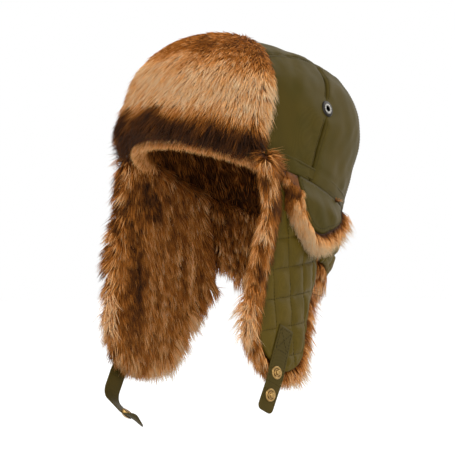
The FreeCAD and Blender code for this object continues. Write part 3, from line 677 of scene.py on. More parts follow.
def nape_outline(grow, drop, spacing, side=37.0):
    """The nape's outline, opened out flat: its slanting top, upright sides and level bottom."""
    low = NAPE_LOW - grow
    arch = 21.0

    def edge_turn(level):
        radius = NAPE_SET_IN + math.sqrt(NAPE_BOW**2 - (level + NAPE_FULLEST) ** 2)
        return math.acos((side - NAPE_MIDDLE) / radius) * NAPE_SCALE

    side_top = top_level(side, drop)
    sides = [(-edge_turn(z), z) for z in np.linspace(side_top, low + arch, 9)]
    across_top = []
    for turned in np.linspace(sides[0][0], -sides[0][0], 31)[1:-1]:
        level = -40.0
        for _ in range(12):
            level = top_level(float(nape_place(np.array([turned]), np.array([level]), 0)[0, 1]), drop)
        across_top.append((turned, level))
    end = sides[-1][0]
    bottom = [(t, low + arch * float(step(abs(t) / abs(end), 0.42, 1.0))) for t in np.linspace(end, -end, 25)[1:-1]]
    steps = sides + bottom + [(-a, z) for a, z in sides[::-1]] + across_top[::-1]
    return rounded_outline(steps, spacing)


def hang(piece):
    """Bakes a flap's piece's transform into its points; it is not attached to a body."""
    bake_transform(piece)


quilt_cloth = cloth_material("olive_quilting", (0.114, 0.075, 0.0085), (0.091, 0.062, 0.0070))
SPACING = 1.75
QUILT_MIDDLE, QUILT_HALF, QUILT_ROUNDING = 2.5, 2.5, 3.5
flap_edge = rounded_outline(flap_steps(0, 0.4, brow=-9.0), SPACING)
for side, mirror in SIDES:
    pad = filled_pad(
        flap_edge, SPACING, flap_place, QUILT_MIDDLE, QUILT_HALF, QUILT_ROUNDING, quilt, mirror
    )
    quilted = made(f"flap_{side}_quilt", pad.points, pad.faces, quilt_cloth)
    hang(quilted)
    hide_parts(f"flap_{side}_shell", f"flap_{side}_wadding")
nape_pad = filled_pad(
    nape_outline(0, -2.0, SPACING), SPACING, nape_place, QUILT_MIDDLE, QUILT_HALF, QUILT_ROUNDING, quilt
)
quilted = made("nape_quilt", nape_pad.points, nape_pad.faces, quilt_cloth)
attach(quilted, "crown")
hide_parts("nape_shell", "nape_wadding")


# ---------------------------------------------------------------- ear covers
# A small flap of plain nylon, lined with fur, hangs over the top of each ear flap. It's sewn into the seam
# under the crown's band, so it starts flush with the band and stands out lower down.


COVER_TOP = 25
COVER_BOWS = ((94.5, 112, 1), (100, 190, -27))


def cover_place(back, level, depth):
    """A point of the left ear cover; depth counts outwards from its inner face."""
    share = (COVER_TOP - level) / 100
    tuck = step(level - top_level(back, 0), -20, 0)
    thin = 1 - 0.72 * tuck

    def bowed(out):
        high, low = (
            reach - radius + np.sqrt((radius + out) ** 2 - (back - middle) ** 2)
            for reach, radius, middle in COVER_BOWS
        )
        return (1 - share) * high + share * low

    side = bowed(0)
    return np.stack([side + (bowed(depth) - side) * thin - 1.2 * tuck, back, level], 1)


def cover_steps(grow, drop, front=-24.0, low_front=-2.0):
    """The cover's outline from the side."""
    front, rear = front - grow, 66 + grow
    return [
        (front, top_level(front, drop)),
        (front + 0.5, -18),
        (low_front - 0.7 * grow, -43 - 0.8 * grow, 60 + grow),
        (28 + 0.5 * grow, -47 - grow, 26 + grow),
        (58 + grow, -36, 70 + grow),
        (rear - 0.02 * grow, top_level(rear, drop)),
    ]


def slack(flat, edge):
    """Soft folds of the plain cloth, fading to nothing at its edge."""
    flow = np.stack([flat[:, 0] + 0.5 * flat[:, 1], flat[:, 1] - 0.4 * flat[:, 0], flat[:, 0] * 0], 1)
    folds = -0.9 * ripple(flow, (20, 70, 9), 31) - 0.5 * ripple(flow, (34, 34, 9), 32)
    return folds * step(edge, 0, 9) - 0.4 * step(edge, 0, 5)


COVER_SPACING = 2.2
cover_edge = rounded_outline(cover_steps(-0.5, -0.6, -13.5, -2.0), COVER_SPACING)
for side, mirror in SIDES:
    pad = filled_pad(cover_edge, COVER_SPACING, cover_place, 3.9, -1.1, 2.5, slack, mirror)
    cover = made(f"ear_cover_{side}_cloth", pad.points, pad.faces, olive)
    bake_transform(cover)
    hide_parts(f"ear_cover_{side}_shell")


# ---------------------------------------------------------------- fur
# Faux fur: a knitted backing with a deep pile, dark at the root and orange, tan or cream towards the tip.
# Each panel has a padded backing in its own colour and locks of hair, combed down and gathered at their tips.
PILE_TONES = (
    (0.00, (0.014, 0.0062, 0.0030)),
    (0.20, (0.060, 0.0215, 0.0065)),
    (0.40, (0.230, 0.078, 0.0125)),
    (0.58, (0.550, 0.195, 0.0300)),
    (0.78, (0.900, 0.490, 0.1900)),
    (1.00, (0.960, 0.800, 0.5500)),
)

tones, given, put = new_group("pile_tone", {"Tone": "Float", "Cast": "Float"}, {"Colour": "Color"})
ramp = add_node(tones, "ShaderNodeValToRGB", {"Fac": given["Tone"]})
elements = ramp.color_ramp.elements
while len(elements) < len(PILE_TONES):
    elements.new(0.5)
for element, (place, colour) in zip(elements, PILE_TONES):
    element.position = place
    element.color = (*colour, 1)
warm = add_node(
    tones,
    "ShaderNodeMix",
    {0: given["Cast"], 6: (0.84, 0.84, 0.86, 1), 7: (1.16, 1.05, 0.88, 1)},
    data_type="RGBA",
)
cast = add_node(
    tones,
    "ShaderNodeMix",
    {0: 1.0, 6: ramp.outputs[0], 7: warm.outputs[2]},
    data_type="RGBA",
    blend_type="MULTIPLY",
)
tones.links.new(cast.outputs[2], put["Colour"])


def pile_material(name, from_map):
    """Hair or its backing. Hair reads its tone along U and its cast along V; backing reads an attribute."""
    material, tree, hair = bare_material(name)
    group = add_node(tree, "ShaderNodeGroup", node_tree=tones)
    if from_map:
        layout = add_node(tree, "ShaderNodeUVMap", uv_map="OFBake")
        split = add_node(tree, "ShaderNodeSeparateXYZ", {0: layout.outputs[0]})
        set_inputs(tree, group, {"Tone": split.outputs[0], "Cast": split.outputs[1]})
    else:
        place = add_node(tree, "ShaderNodeTexCoord")
        streak = add_node(tree, "ShaderNodeMapping", {0: place.outputs["Object"], "Scale": (1, 1, 0.25)})
        strands = add_node(tree, "ShaderNodeTexNoise", {"Vector": streak.outputs[0], "Scale": 420.0, "Detail": 3.0})
        tone = add_node(tree, "ShaderNodeAttribute", attribute_name="tone")
        streaked = {0: strands.outputs[0], 1: 0.35, 2: tone.outputs["Fac"]}
        mixed = add_node(tree, "ShaderNodeMath", streaked, operation="MULTIPLY_ADD")
        lowered = add_node(tree, "ShaderNodeMath", {0: mixed.outputs[0], 1: 0.2}, operation="SUBTRACT")
        set_inputs(tree, group, {"Tone": lowered.outputs[0], "Cast": 0.55})
        bumpy = {"Strength": 0.6, "Distance": 0.0008, "Height": strands.outputs[0]}
        set_inputs(tree, hair, {"Normal": add_node(tree, "ShaderNodeBump", bumpy).outputs[0]})
    set_inputs(tree, hair, {"Base Color": group.outputs[0], "Roughness": 0.55, "Specular IOR Level": 0.12})
    return material


hair_material = pile_material("pile_hair", True)
backing_material = pile_material("pile_backing", False)


def cloth_trees(names):
    """Search trees of finished cloth pieces, to tell which roots lie against cloth."""
    found = []
    for name in names:
        piece = bpy.data.objects[name]
        found.append(BVHTree.FromPolygons(points_of(piece).tolist(), [p.vertices[:] for p in piece.data.polygons]))
    return found


# each lock is a three-sided spike with a knee, its root sunk into the backing
KNEE, LOCK_HALF, ROOT_SUNK, LOCKS_GATHERED = 0.42, 0.42, 0.8, 11
EVERYWHERE = -1e9


def grow(name, pad, number, style, seed, against=(), sewn_top=7, sewn_from=EVERYWHERE):
    """Locks of hair on a pad. style(root) gives each lock's comb, length, lift, root tone, tip tone and gather.
    Roots behind sewn_from and within sewn_top of the sewn upper edge are left out, and so are those against
    the cloth pieces named."""
    rng = np.random.default_rng(seed)
    normals = pad.normals()
    a, b, c = (pad.points[pad.faces[:, i]] for i in range(3))
    area = np.linalg.norm(np.cross(b - a, c - a), axis=1)
    draws = int(number * 2.2)
    pick = rng.choice(len(area), draws, p=area / area.sum())
    u, v = rng.random(draws), rng.random(draws)
    u, v = np.where(u + v > 1, 1 - u, u), np.where(u + v > 1, 1 - v, v)
    mix = np.stack([1 - u - v, u, v], 1)

    def at_roots(values):
        values = np.asarray(values)[pad.faces[pick]]
        return np.einsum("ij,ij...->i...", mix, values)

    root = {key: at_roots(getattr(pad, key)) for key in ("flat", "edge", "out", "inner")}
    root |= {"place": at_roots(pad.points), "normal": at_roots(normals)}
    for key in ("normal", "out"):
        root[key] /= np.maximum(np.linalg.norm(root[key], axis=1), 1e-9)[:, None]
    sewn = (root["out"][:, 2] > 0.45) & (root["edge"] < sewn_top) & ((root["inner"] < 0.75) | (sewn_top > 10))
    keep = ~(sewn & (root["flat"][:, 0] > sewn_from))
    root["out"] *= (1 - step(root["out"][:, 2], 0.1, 0.4))[:, None]
    for tree in cloth_trees(against):
        for i in np.flatnonzero(keep):
            start = (root["place"][i] - root["normal"][i] * 0.5) * MM
            if tree.ray_cast(Vector(start), Vector(root["normal"][i]), 0.007)[0] is not None:
                keep[i] = False
    chosen = np.flatnonzero(keep)[:number]
    root = {key: value[chosen] for key, value in root.items()}
    count = len(chosen)
    look_of = style(root, rng)
    comb, length, lift = (look_of[k] for k in ("comb", "length", "lift"))
    root_tone, tip_tone, gather = (look_of[k] for k in ("root", "tip", "gather"))
    normal, start = root["normal"], root["place"]
    comb = comb + rng.normal(0, 0.16, (count, 3))
    comb = comb - np.einsum("ij,ij->i", comb, normal)[:, None] * normal
    comb /= np.maximum(np.linalg.norm(comb, axis=1), 1e-6)[:, None]
    length = (length * rng.uniform(0.72, 1.18, count))[:, None]
    lift = np.radians(lift + rng.normal(0, 6, count))[:, None]
    first = comb * np.cos(lift * 1.35) + normal * np.sin(np.minimum(lift * 1.35, 1.5))
    second = comb * np.cos(lift * 0.75) + normal * np.sin(lift * 0.75) + np.array([0, 0, -0.12])
    second /= np.linalg.norm(second, axis=1)[:, None]
    knee = start + first * length * KNEE
    tip = knee + second * length * (1 - KNEE)
    lead = rng.choice(count, max(8, count // LOCKS_GATHERED), replace=False)
    finder = kdtree.KDTree(len(lead))
    for i, j in enumerate(lead):
        finder.insert(start[j], i)
    finder.balance()
    nearest = np.array([lead[finder.find(Vector(p))[1]] for p in start])
    pull = (gather * rng.uniform(0.4, 1.0, count))[:, None]
    tip = tip + (tip[nearest] - tip) * pull
    knee = knee + (knee[nearest] - knee) * pull * 0.35
    lead_shade = rng.normal(0, 1, count)[nearest]
    width = LOCK_HALF * rng.uniform(0.75, 1.25, count)[:, None]
    along = tip - start
    along /= np.linalg.norm(along, axis=1)[:, None]
    flat_way = np.cross(along, normal)
    flat_way /= np.maximum(np.linalg.norm(flat_way, axis=1), 1e-6)[:, None]
    deep_way = np.cross(along, flat_way)
    points = np.zeros((count, 7, 3))
    for k, angle in enumerate((0, 2.094, 4.189)):
        spoke = flat_way * math.cos(angle) + deep_way * math.sin(angle) * 0.7
        points[:, k] = start - normal * ROOT_SUNK + spoke * width
        points[:, 3 + k] = knee + spoke * width * 0.85
    points[:, 6] = tip
    order = np.array([0, 1, 4, 3, 1, 2, 5, 4, 2, 0, 3, 5, 3, 4, 6, 4, 5, 6, 5, 3, 6, 0, 2, 1])
    sizes = np.array([4, 4, 4, 3, 3, 3, 3])
    loops = (np.arange(count)[:, None] * 7 + order).ravel()
    spread = look_of.get("spread", 0.07)
    shade = lead_shade * spread + rng.normal(0, spread * 0.7, count)
    low = np.clip(root_tone + shade * 0.4, 0.015, 0.96)
    high = np.clip(tip_tone + shade, 0.015, 0.985)
    high = np.where(np.abs(high - low) < 0.02, low + 0.02, high)
    middle = low + (high - low) * look_of.get("middle", 0.62)
    cast = np.clip(0.5 + rng.normal(0, 0.2, count), 0.06, 0.94)
    tone_at = np.stack([low, low, low, middle, middle, middle, high], 1)
    cast_at = np.stack([cast - 0.02, cast, cast + 0.02] * 2 + [cast], 1)
    layout = np.stack([tone_at[:, order], cast_at[:, order]], 2)
    layout[:, -3:, 0] += np.array([0, 0.006, 0.003])
    co = (points.reshape(-1, 3) * MM).astype(np.float32)
    locks = smooth_object(name, co, loops, np.tile(sizes, count), hair_material)
    uv = locks.data.uv_layers.new(name="OFBake")
    uv.data.foreach_set("uv", layout.reshape(-1).astype(np.float32))
    return locks


def backing(name, pad, tone):
    """The fur's backing, a padded piece in the pile's own colours."""
    piece = made(name, pad.points, pad.faces, backing_material)
    values = np.asarray(tone, np.float32)
    piece.data.attributes.new("tone", "FLOAT", "POINT").data.foreach_set("value", values)
    return piece


DOWN = np.array([0.0, 0.0, -1.0])
# where the flap's cloth ends in front at each level, and how fast the fur turns out past it
FRONT_LEVELS, FRONT_EDGES = (-176, -140, -25, 40), (-60, -68, -36, -33)
TURN_LEVELS, TURN_AMOUNT = (-170, -100, -60, -15), (0.3, 0.55, 0.85, 1.15)


def rolled_place(back, level, depth):
    """The flap's fur: past the front edge of the cloth it turns out round it."""
    past = np.clip(np.interp(level, FRONT_LEVELS, FRONT_EDGES) - back, 0, 22)
    return flap_place(back, level, depth - past * np.interp(level, TURN_LEVELS, TURN_AMOUNT))


def flap_fur_style(root, rng):
    """Ear flaps: combed down inside; at the rim it turns out over the cloth's edge."""
    back, level = root["flat"].T
    edge, inner, out = root["edge"], root["inner"], root["out"]
    rim = np.clip(1 - edge / 9, 0, 1)
    at_front = step(-out[:, 1], 0.2, 0.8)
    at_rear = step(out[:, 1], 0.1, 0.6)
    field = np.stack([root["place"][:, 0] * 0, back, level], 1)
    streak = ripple(field, (9, 4.5, 30), 41) * 0.65 + ripple(field, (9, 16, 110), 42) * 0.5
    upper = step(level, -75, -10)
    dark_front = np.exp(-(((edge - 21) / 11) ** 2)) * at_front * (1 - step(-level, 110, 165))
    pale_end = step(-level, 120, 175) * np.clip(1 - edge / 18, 0, 1)
    mottle = ripple(root["place"], (14, 9, 26), 43)
    tip = 0.635 + 0.15 * streak - 0.05 * upper - 0.36 * dark_front + 0.14 * pale_end + 0.05 * rim
    front_rim = at_front * rim
    outside = (1 - inner) * np.clip(1 - edge / 14, 0, 1)
    tip += outside * 0.2 * mottle * (0.5 + at_front) + 0.2 * front_rim * mottle
    tip += 0.32 * at_rear * rim * step(-level, 95, 125)
    slit = at_rear * rim * (1 - step(-level, 88, 104))
    low = 0.5 * tip - 0.1 * rim
    low *= 1 - 0.8 * rim * at_rear
    away = np.stack([np.sign(root["place"][:, 0]), np.zeros(len(back)), np.zeros(len(back))], 1)
    comb = DOWN + out * (rim * (0.55 + 1.35 * at_rear) * (1 - slit))[:, None] + np.array([0, 0.1, 0])
    comb += away * (0.5 * front_rim)[:, None]
    return {
        "comb": comb,
        "length": (14.5 + 3.5 * rim + 0.5 * front_rim + 11 * at_rear * rim) * (1 - 0.7 * slit),
        "lift": 24 + 9 * rim * (1 - front_rim) + 6 * front_rim * (1 - inner) - 20 * slit,
        "middle": 0.62 + 0.22 * at_rear * rim,
        "root": low,
        "tip": tip,
        "gather": 0.45 + 0.15 * mottle,
        "spread": 0.11,
    }


INNER_SPACING = 3.4
PILE_MIDDLE, PILE_HALF, PILE_ROUNDING = 8.6, 3.4, 6
pile_edge = rounded_outline(flap_steps(3.2, -4.0, 35.6, brow=8.0, heel=4.0), INNER_SPACING)
for (side, mirror), seed in zip(SIDES, (51, 52)):
    pad = filled_pad(
        pile_edge, INNER_SPACING, rolled_place, PILE_MIDDLE, PILE_HALF, PILE_ROUNDING, None, mirror
    )
    body = f"flap_{side}"
    tone = 0.30 + 0.1 * ripple(pad.points, (8, 8, 60), 53)
    base = backing(f"{body}_fur_backing", pad, tone)
    hang(base)
    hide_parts(f"{body}_fur_lining")
    for part in range(2):
        locks = grow(
            f"{body}_fur_{part + 1}", pad, 13500, flap_fur_style, seed + 10 * part, [f"{body}_quilt"], 7, -36
        )
        hang(locks)


def nape_fur_style(root, rng):
    """Nape: combed down, with a pale fringe below the cloth."""
    level = root["flat"][:, 1]
    rim = np.clip(1 - root["edge"] / 8, 0, 1)
    streak = ripple(root["place"], (8, 8, 70), 44)
    turned = np.abs(root["flat"][:, 0])
    aside = step(turned, 62, 105)
    at_side = rim * (1 - step(-root["out"][:, 2], 0.2, 0.6)) * (1 - step(root["out"][:, 2], 0.2, 0.6))
    tip = 0.62 + 0.13 * streak - 0.12 * step(level, -70, -15) + 0.26 * rim * (1 - aside)
    flare = rim * (1 - at_side) * (root["inner"] < 0.6) * step(turned, 18, 32)
    return {
        "comb": DOWN + root["out"] * (rim * 0.7)[:, None] + root["normal"] * 0.2 * rim[:, None],
        "length": (14 + 11 * rim * (1 - aside)) * (1 - 0.65 * at_side),
        "lift": 24 + 14 * rim * (1 - at_side) + 40 * flare,
        "middle": 0.62 + 0.2 * rim * (1 - aside),
        "root": np.where((rim > 0.3) & (aside < 0.5), 0.2, 0.5 * tip),
        "tip": tip,
        "gather": 0.5 + 0 * tip,
        "spread": 0.13,
    }


nape_edge = nape_outline(3.2, -4.0, INNER_SPACING, 37.4)
pad = filled_pad(nape_edge, INNER_SPACING, nape_place, PILE_MIDDLE, PILE_HALF, PILE_ROUNDING)
base = backing("nape_fur_backing", pad, 0.28 + 0.1 * ripple(pad.points, (8, 8, 60), 54))
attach(base, "crown")
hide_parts("nape_fur_lining")
locks = grow("nape_fur", pad, 13500, nape_fur_style, 55, ["nape_quilt", "flap_left_quilt", "flap_right_quilt"])
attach(locks, "crown")


# The visor is folded up against the crown's front: fur outside, a stiff interlining and a cloth back. Its
# fur is orange-brown above, tan across the middle, and painted nearly black as shade along its lower edge.
VISOR_END, VISOR_LOW = 62.0, 4.0
VISOR_TAPER = 13.0


def visor_place(turned, rise, depth):
    """A point of the visor: turned is the angle from the middle times 100 mm, rise follows the crown up,
    and depth counts inwards from the fur's outer limit."""
    out = 17.3 - depth
    angle = turned / 100
    k, high = swell(np.clip(np.maximum(rise - WALL, 0) / 100, 0, 1.57), angle)
    taper = VISOR_TAPER * np.clip(out - 2, 0, 15.3) / 13
    return leaned(
        np.stack(
            [
                (HALF_WIDTH + out) * k * np.sin(angle),
                -(HALF_LENGTH + out) * k * np.cos(angle),
                np.minimum(rise, WALL) + (DOME + out - taper) * high,
            ],
            1,
        )
    )


def visor_outline(grow, spacing):
    """The visor's outline, opened out: a level lower edge and ends that close over the top."""
    reach = (VISOR_END - grow) / (HALF_LENGTH + 8)
    top = math.acos(reach ** (FRONT_FULLNESS / 2))
    bends = top * np.sin(np.linspace(0.08, math.pi / 2, 22))
    rises = [VISOR_LOW - grow, *np.linspace(12, WALL, 5), *(WALL + 100 * bends)]
    side = []
    for rise in rises:
        wide = float(swell(max(rise - WALL, 0) / 100, 0.0)[0])
        side.append((100 * math.acos(min(1, reach / wide)), rise))
    return rounded_outline([(-a, r) for a, r in side[::-1] if a > 1e-6] + side, spacing)


def visor_fur_style(root, rng):
    """Visor: combed down and towards the wearer's right, lying flat where it ends on top."""
    turned, rise = root["flat"].T
    edge = root["edge"]
    rim = np.clip(1 - edge / 9, 0, 1)
    top = step(rise, 60, 105)
    under = rim * step(-root["out"][:, 2], 0.2, 0.8)
    comb = DOWN - np.array(across) * 0.42 + root["out"] * (rim * (1.1 - 0.5 * top))[:, None]
    wander = ripple(root["place"], 30, 61)
    # painted shade: near the lower edge, where the fur rounds under, the tone is painted down nearly to black, less
    # at the wearer's right
    dark = 1 - step(rise - 4 + 5 * wander + 0.08 * np.clip(turned, -90, 60), 15, 29)
    at_right = step(-turned, 48, 76)
    dark = dark * (1 - 0.85 * at_right * step(rise, 8, 15))
    band = step(rise, 17, 42) * (1 - step(rise, 66, 108)) * (0.75 + 0.25 * step(turned, -70, 10))
    streak = ripple(root["place"], (7, 7, 24), 62)
    tip = 0.548 + 0.41 * band + 0.09 * streak + 0.05 * wander
    # along the lower edge the painted shade replaces the hair's own tone
    tip = tip * (1 - dark) + dark * (0.19 + 0.05 * streak)
    return {
        "comb": comb,
        "length": 18 + 1.5 * rim + 1.5 * dark - 9 * top,
        "lift": 24 + 12 * (1 - step(rise, 25, 65)) + 8 * rim * (1 - top) * (1 - under) - 10 * top - 12 * under,
        "root": tip * (0.68 - 0.02 * band),
        "tip": tip,
        "gather": 0.42 + 0.1 * wander,
        "spread": 0.085,
    }


visor_pad = filled_pad(visor_outline(-3.0, 3.6), 3.6, visor_place, 9.6, 3.2, 7)
turned, rise = visor_pad.flat.T
# painted shade: the backing below rise 24 gets a dark tone, under the visor's shaded lower edge
base = backing("visor_fur_backing", visor_pad, np.where(rise < 24, 0.12, 0.36))
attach(base, "visor")
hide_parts("visor_fur")
for part in range(3):
    locks = grow(f"visor_fur_{part + 1}", visor_pad, 13000, visor_fur_style, 63 + part, (), 0)
    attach(locks, "visor")
board = filled_pad(visor_outline(-7.0, 3.0), 3.0, visor_place, 15.0, 0.9, 2.5)
cloth_back = made("visor_cloth_back", board.points, board.faces, olive)
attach(cloth_back, "visor")
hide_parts("visor_backing", "visor_interlining")


# Ear covers: a strip of pile all round that turns out over the cloth, dark at the root and cream at the tip.
def cover_fur_style(root, rng):
    """Ear covers: short and mottled up the front edge, long with cream tips along the bottom and rear."""
    back, level = root["flat"].T
    at_front = step(-back, -9, 6)
    below = step(-level, 8, 32)
    mottle = ripple(root["place"], (9, 9, 15), 71)
    tip = 0.52 + 0.46 * below + 0.3 * mottle * at_front * (1 - below) + 0.3 * (1 - at_front)
    low = np.where(at_front > 0.5, tip * (0.45 - 0.1 * below), 0.07)
    at_rear = step(back, 30, 60)
    corner = (1 - at_front) * (1 - step(-level, 4, 20))
    comb = DOWN * (0.85 + 0.15 * at_front - 0.3 * at_rear * (1 - corner))[:, None]
    comb += root["out"] * ((1.0 - 0.75 * at_front + 0.1 * at_rear) * (1 - 0.9 * corner))[:, None]
    return {
        "comb": comb,
        "length": (9.5 + 8 * below + 3 * (1 - at_front) + 1 * at_rear) * (1 - 0.5 * corner),
        "lift": (24 + 8 * mottle) * (1 - 0.6 * corner),
        "middle": 0.62 + 0.1 * below * (1 - at_front),
        "root": low,
        "tip": tip,
        "gather": 0.45 + 0 * tip,
        "spread": 0.07,
    }


FRINGE_SPACING = 2.6
fringe_edge = rounded_outline(cover_steps(2.5, 0.4, -25.0, -7.0), FRINGE_SPACING)
for (side, mirror), seed in zip(SIDES, (72, 73)):
    pad = filled_pad(fringe_edge, FRINGE_SPACING, cover_place, 2.2, -1.7, 3, None, mirror)
    body = f"ear_cover_{side}"
    base = backing(f"{body}_fur_backing", pad, np.where(pad.flat[:, 0] < -6, 0.34, 0.12))
    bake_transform(base)
    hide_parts(f"{body}_fur")
    locks = grow(f"{body}_pile", pad, 13000, cover_fur_style, seed, [f"{body}_cloth"], 11)
    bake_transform(locks)


# The crown is lined with the same fur. At the brow the lining rolls out past the cloth's edge as a narrow
# orange strip under the visor.
LINING_OUT, LINING_IN, ROLL_DOWN = 5.4, 9.4, 3.2
outer_points, outer_faces = dome_grid(LINING_OUT)
inner_points, _ = dome_grid(LINING_IN)
turns = np.linspace(0, 2 * math.pi, AROUND, endpoint=False)
at_brow = step(np.cos(turns), -0.15, 0.35)
rolls = []
for share in (0.15, 0.4, 0.65, 0.9):
    inset = LINING_OUT + (LINING_IN - LINING_OUT) * share - 2.0 * math.sin(math.pi * share) * at_brow
    down = ROLL_DOWN * math.sin(math.pi * share)
    rolls.append(crown_ring(turns, -inset, -down))
quads = np.array([f for f in outer_faces if len(f) == 4])
caps = np.array([[f[0], f[1], f[2], f[2]] for f in outer_faces if len(f) == 3])
split = np.concatenate([quads[:, [0, 1, 2]], quads[:, [0, 2, 3]], caps[:, :3]])
shift = len(outer_points)
chain = [np.arange(AROUND)] + [2 * shift + i * AROUND + np.arange(AROUND) for i in range(len(rolls))]
chain.append(shift + np.arange(AROUND))
strips = []
for a, b in zip(chain, chain[1:]):
    strips += [np.stack([a, b, np.roll(b, -1)], 1), np.stack([a, np.roll(b, -1), np.roll(a, -1)], 1)]
lining_points = np.concatenate([outer_points, inner_points, *rolls])
lining_faces = np.concatenate([split, split[:, ::-1] + shift, *strips])
turned = np.degrees(np.arctan2(lining_points[:, 0], -lining_points[:, 1]))
inner_side = np.concatenate([np.zeros(shift), np.ones(shift), np.full(len(rolls) * AROUND, 0.5)])
lining = Pad(
    leaned(lining_points),
    lining_faces,
    np.stack([turned, lining_points[:, 2]], 1),
    np.maximum(lining_points[:, 2], 0),
    leaned(np.tile([0.0, 0.0, -1.0], (len(lining_points), 1))),
    inner_side,
)


def lining_style(root, rng):
    """Crown lining: combed down towards the brow, where the roll's hair stands out short and light."""
    turned, rise = root["flat"].T
    brow = (1 - step(rise, 0.5, 7)) * step(np.cos(np.radians(turned)), -0.1, 0.4)
    streak = ripple(root["place"], (12, 12, 40), 81)
    tip = 0.52 + 0.14 * streak * (1 - brow) + 0.22 * brow
    forward = np.stack([root["place"][:, 0] * 0.012, root["place"][:, 1] * 0.012, np.zeros(len(rise))], 1)
    return {
        "comb": DOWN + forward * (brow * 0.9)[:, None],
        "length": 10.5 - 1.5 * brow,
        "lift": 24 + 14 * brow,
        "root": (0.6 + 0.25 * brow) * tip,
        "tip": tip,
        "gather": 0.35 + 0 * tip,
        "spread": 0.06,
    }


base = backing("crown_fur_backing", lining, 0.26 + 0.08 * ripple(lining.points, 30, 82))
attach(base, "crown")
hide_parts("crown_fur_lining")


def part_of(pad, wanted):
    """The pad with only its faces whose points are all wanted, for roots to be drawn from."""
    some = Pad.__new__(Pad)
    some.__dict__.update(pad.__dict__)
    some.faces = pad.faces[wanted[pad.faces].all(1)]
    return some


near_edge = (lining.flat[:, 1] < 9) & (np.cos(np.radians(lining.flat[:, 0])) > -0.3)
locks = grow("brow_fur", part_of(lining, near_edge), 7000, lining_style, 83, ["crown_band"], 0)
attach(locks, "crown")
inside = lining.inner > 0.75
locks = grow("crown_fur", part_of(lining, inside), 12500, lining_style, 84, (), 0)
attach(locks, "crown")


# ---------------------------------------------------------------- stitching
# Dark olive thread, in short dashes sunk a little into the cloth. A run is laid between a row of points
# outside the cloth and one behind it.
thread = cloth_material("olive_thread", (0.030, 0.022, 0.0045), (0.022, 0.017, 0.0035), pitch=1400.0)
STITCH_PITCH, STITCH_LENGTH, STITCH_HALF = 3.3, 2.2, 0.27
STITCH_TAPER = ((0.0, 0.5), (0.25, 1.0), (0.75, 1.0), (1.0, 0.5))


def facing_out(piece):
    """Turns every face of a closed mesh outwards."""
    shape = bmesh.new()
    shape.from_mesh(piece.data)
    bmesh.ops.recalc_face_normals(shape, faces=shape.faces[:])
    shape.to_mesh(piece.data)
    shape.free()


def sew(name, runs, cloth):
    """Stitches along runs of outside and inside points, laid on the finished cloth pieces named."""
    trees = cloth_trees(cloth)
    points, faces = [], []
    for outside, behind in runs:
        far = np.concatenate([[0], np.cumsum(np.linalg.norm(np.diff(outside, axis=0), axis=1))])
        for middle in np.arange(STITCH_PITCH * 0.6, far[-1] - STITCH_PITCH * 0.4, STITCH_PITCH):
            ends = []
            for at in (middle - STITCH_LENGTH / 2, middle + STITCH_LENGTH / 2):
                a, b = (Vector([np.interp(at, far, row[:, i]) for i in range(3)]) for row in (outside, behind))
                hits = [tree.ray_cast(a * MM, b - a, (b - a).length * MM) for tree in trees]
                hits = [hit for hit in hits if hit[0] is not None]
                if hits:
                    ends.append(min(hits, key=lambda hit: hit[3])[:2])
            if len(ends) < 2 or (ends[1][0] - ends[0][0]).length > 1.5 * STITCH_LENGTH * MM:
                continue
            (start, up), (end, _) = ends
            along = (end - start).normalized()
            side = along.cross(up).normalized()
            up = side.cross(along)
            first = len(points)
            for share, size in STITCH_TAPER:
                middle_point = start.lerp(end, share) / MM + up * 0.1
                for x, y in ((-1, -0.3), (0, 1), (1, -0.3), (0, -1)):
                    points.append(middle_point + (side * x + up * y * 0.8) * STITCH_HALF * size)
            for row in range(3):
                for k in range(4):
                    a, b = first + row * 4 + k, first + row * 4 + (k + 1) % 4
                    faces.append((a, b, b + 4, a + 4))
            faces += [(first + 3, first + 2, first + 1, first), (first + 12, first + 13, first + 14, first + 15)]
    piece = made(name, np.array([tuple(p) for p in points]), [list(f) for f in faces], thread)
    facing_out(piece)
    return piece


def on_crown(points):
    """A run over the crown, from points in its own frame."""
    points = np.asarray(points, float)
    middle = np.array([0, 0, 30.0])
    return leaned(middle + (points - middle) * 1.25), leaned(middle + (points - middle) * 0.8)


def on_pad(place, flat, mirror):
    """A run over a flap, nape or cover, from places on its opened-out outline."""
    flat = np.asarray(flat, float)
    flip = np.array([-1, 1, 1]) if mirror else 1
    away, home = (-9, 6) if place is not cover_place else (12, -1)
    return [place(flat[:, 0], flat[:, 1], depth + 0 * flat[:, 0]) * flip for depth in (away, home)]


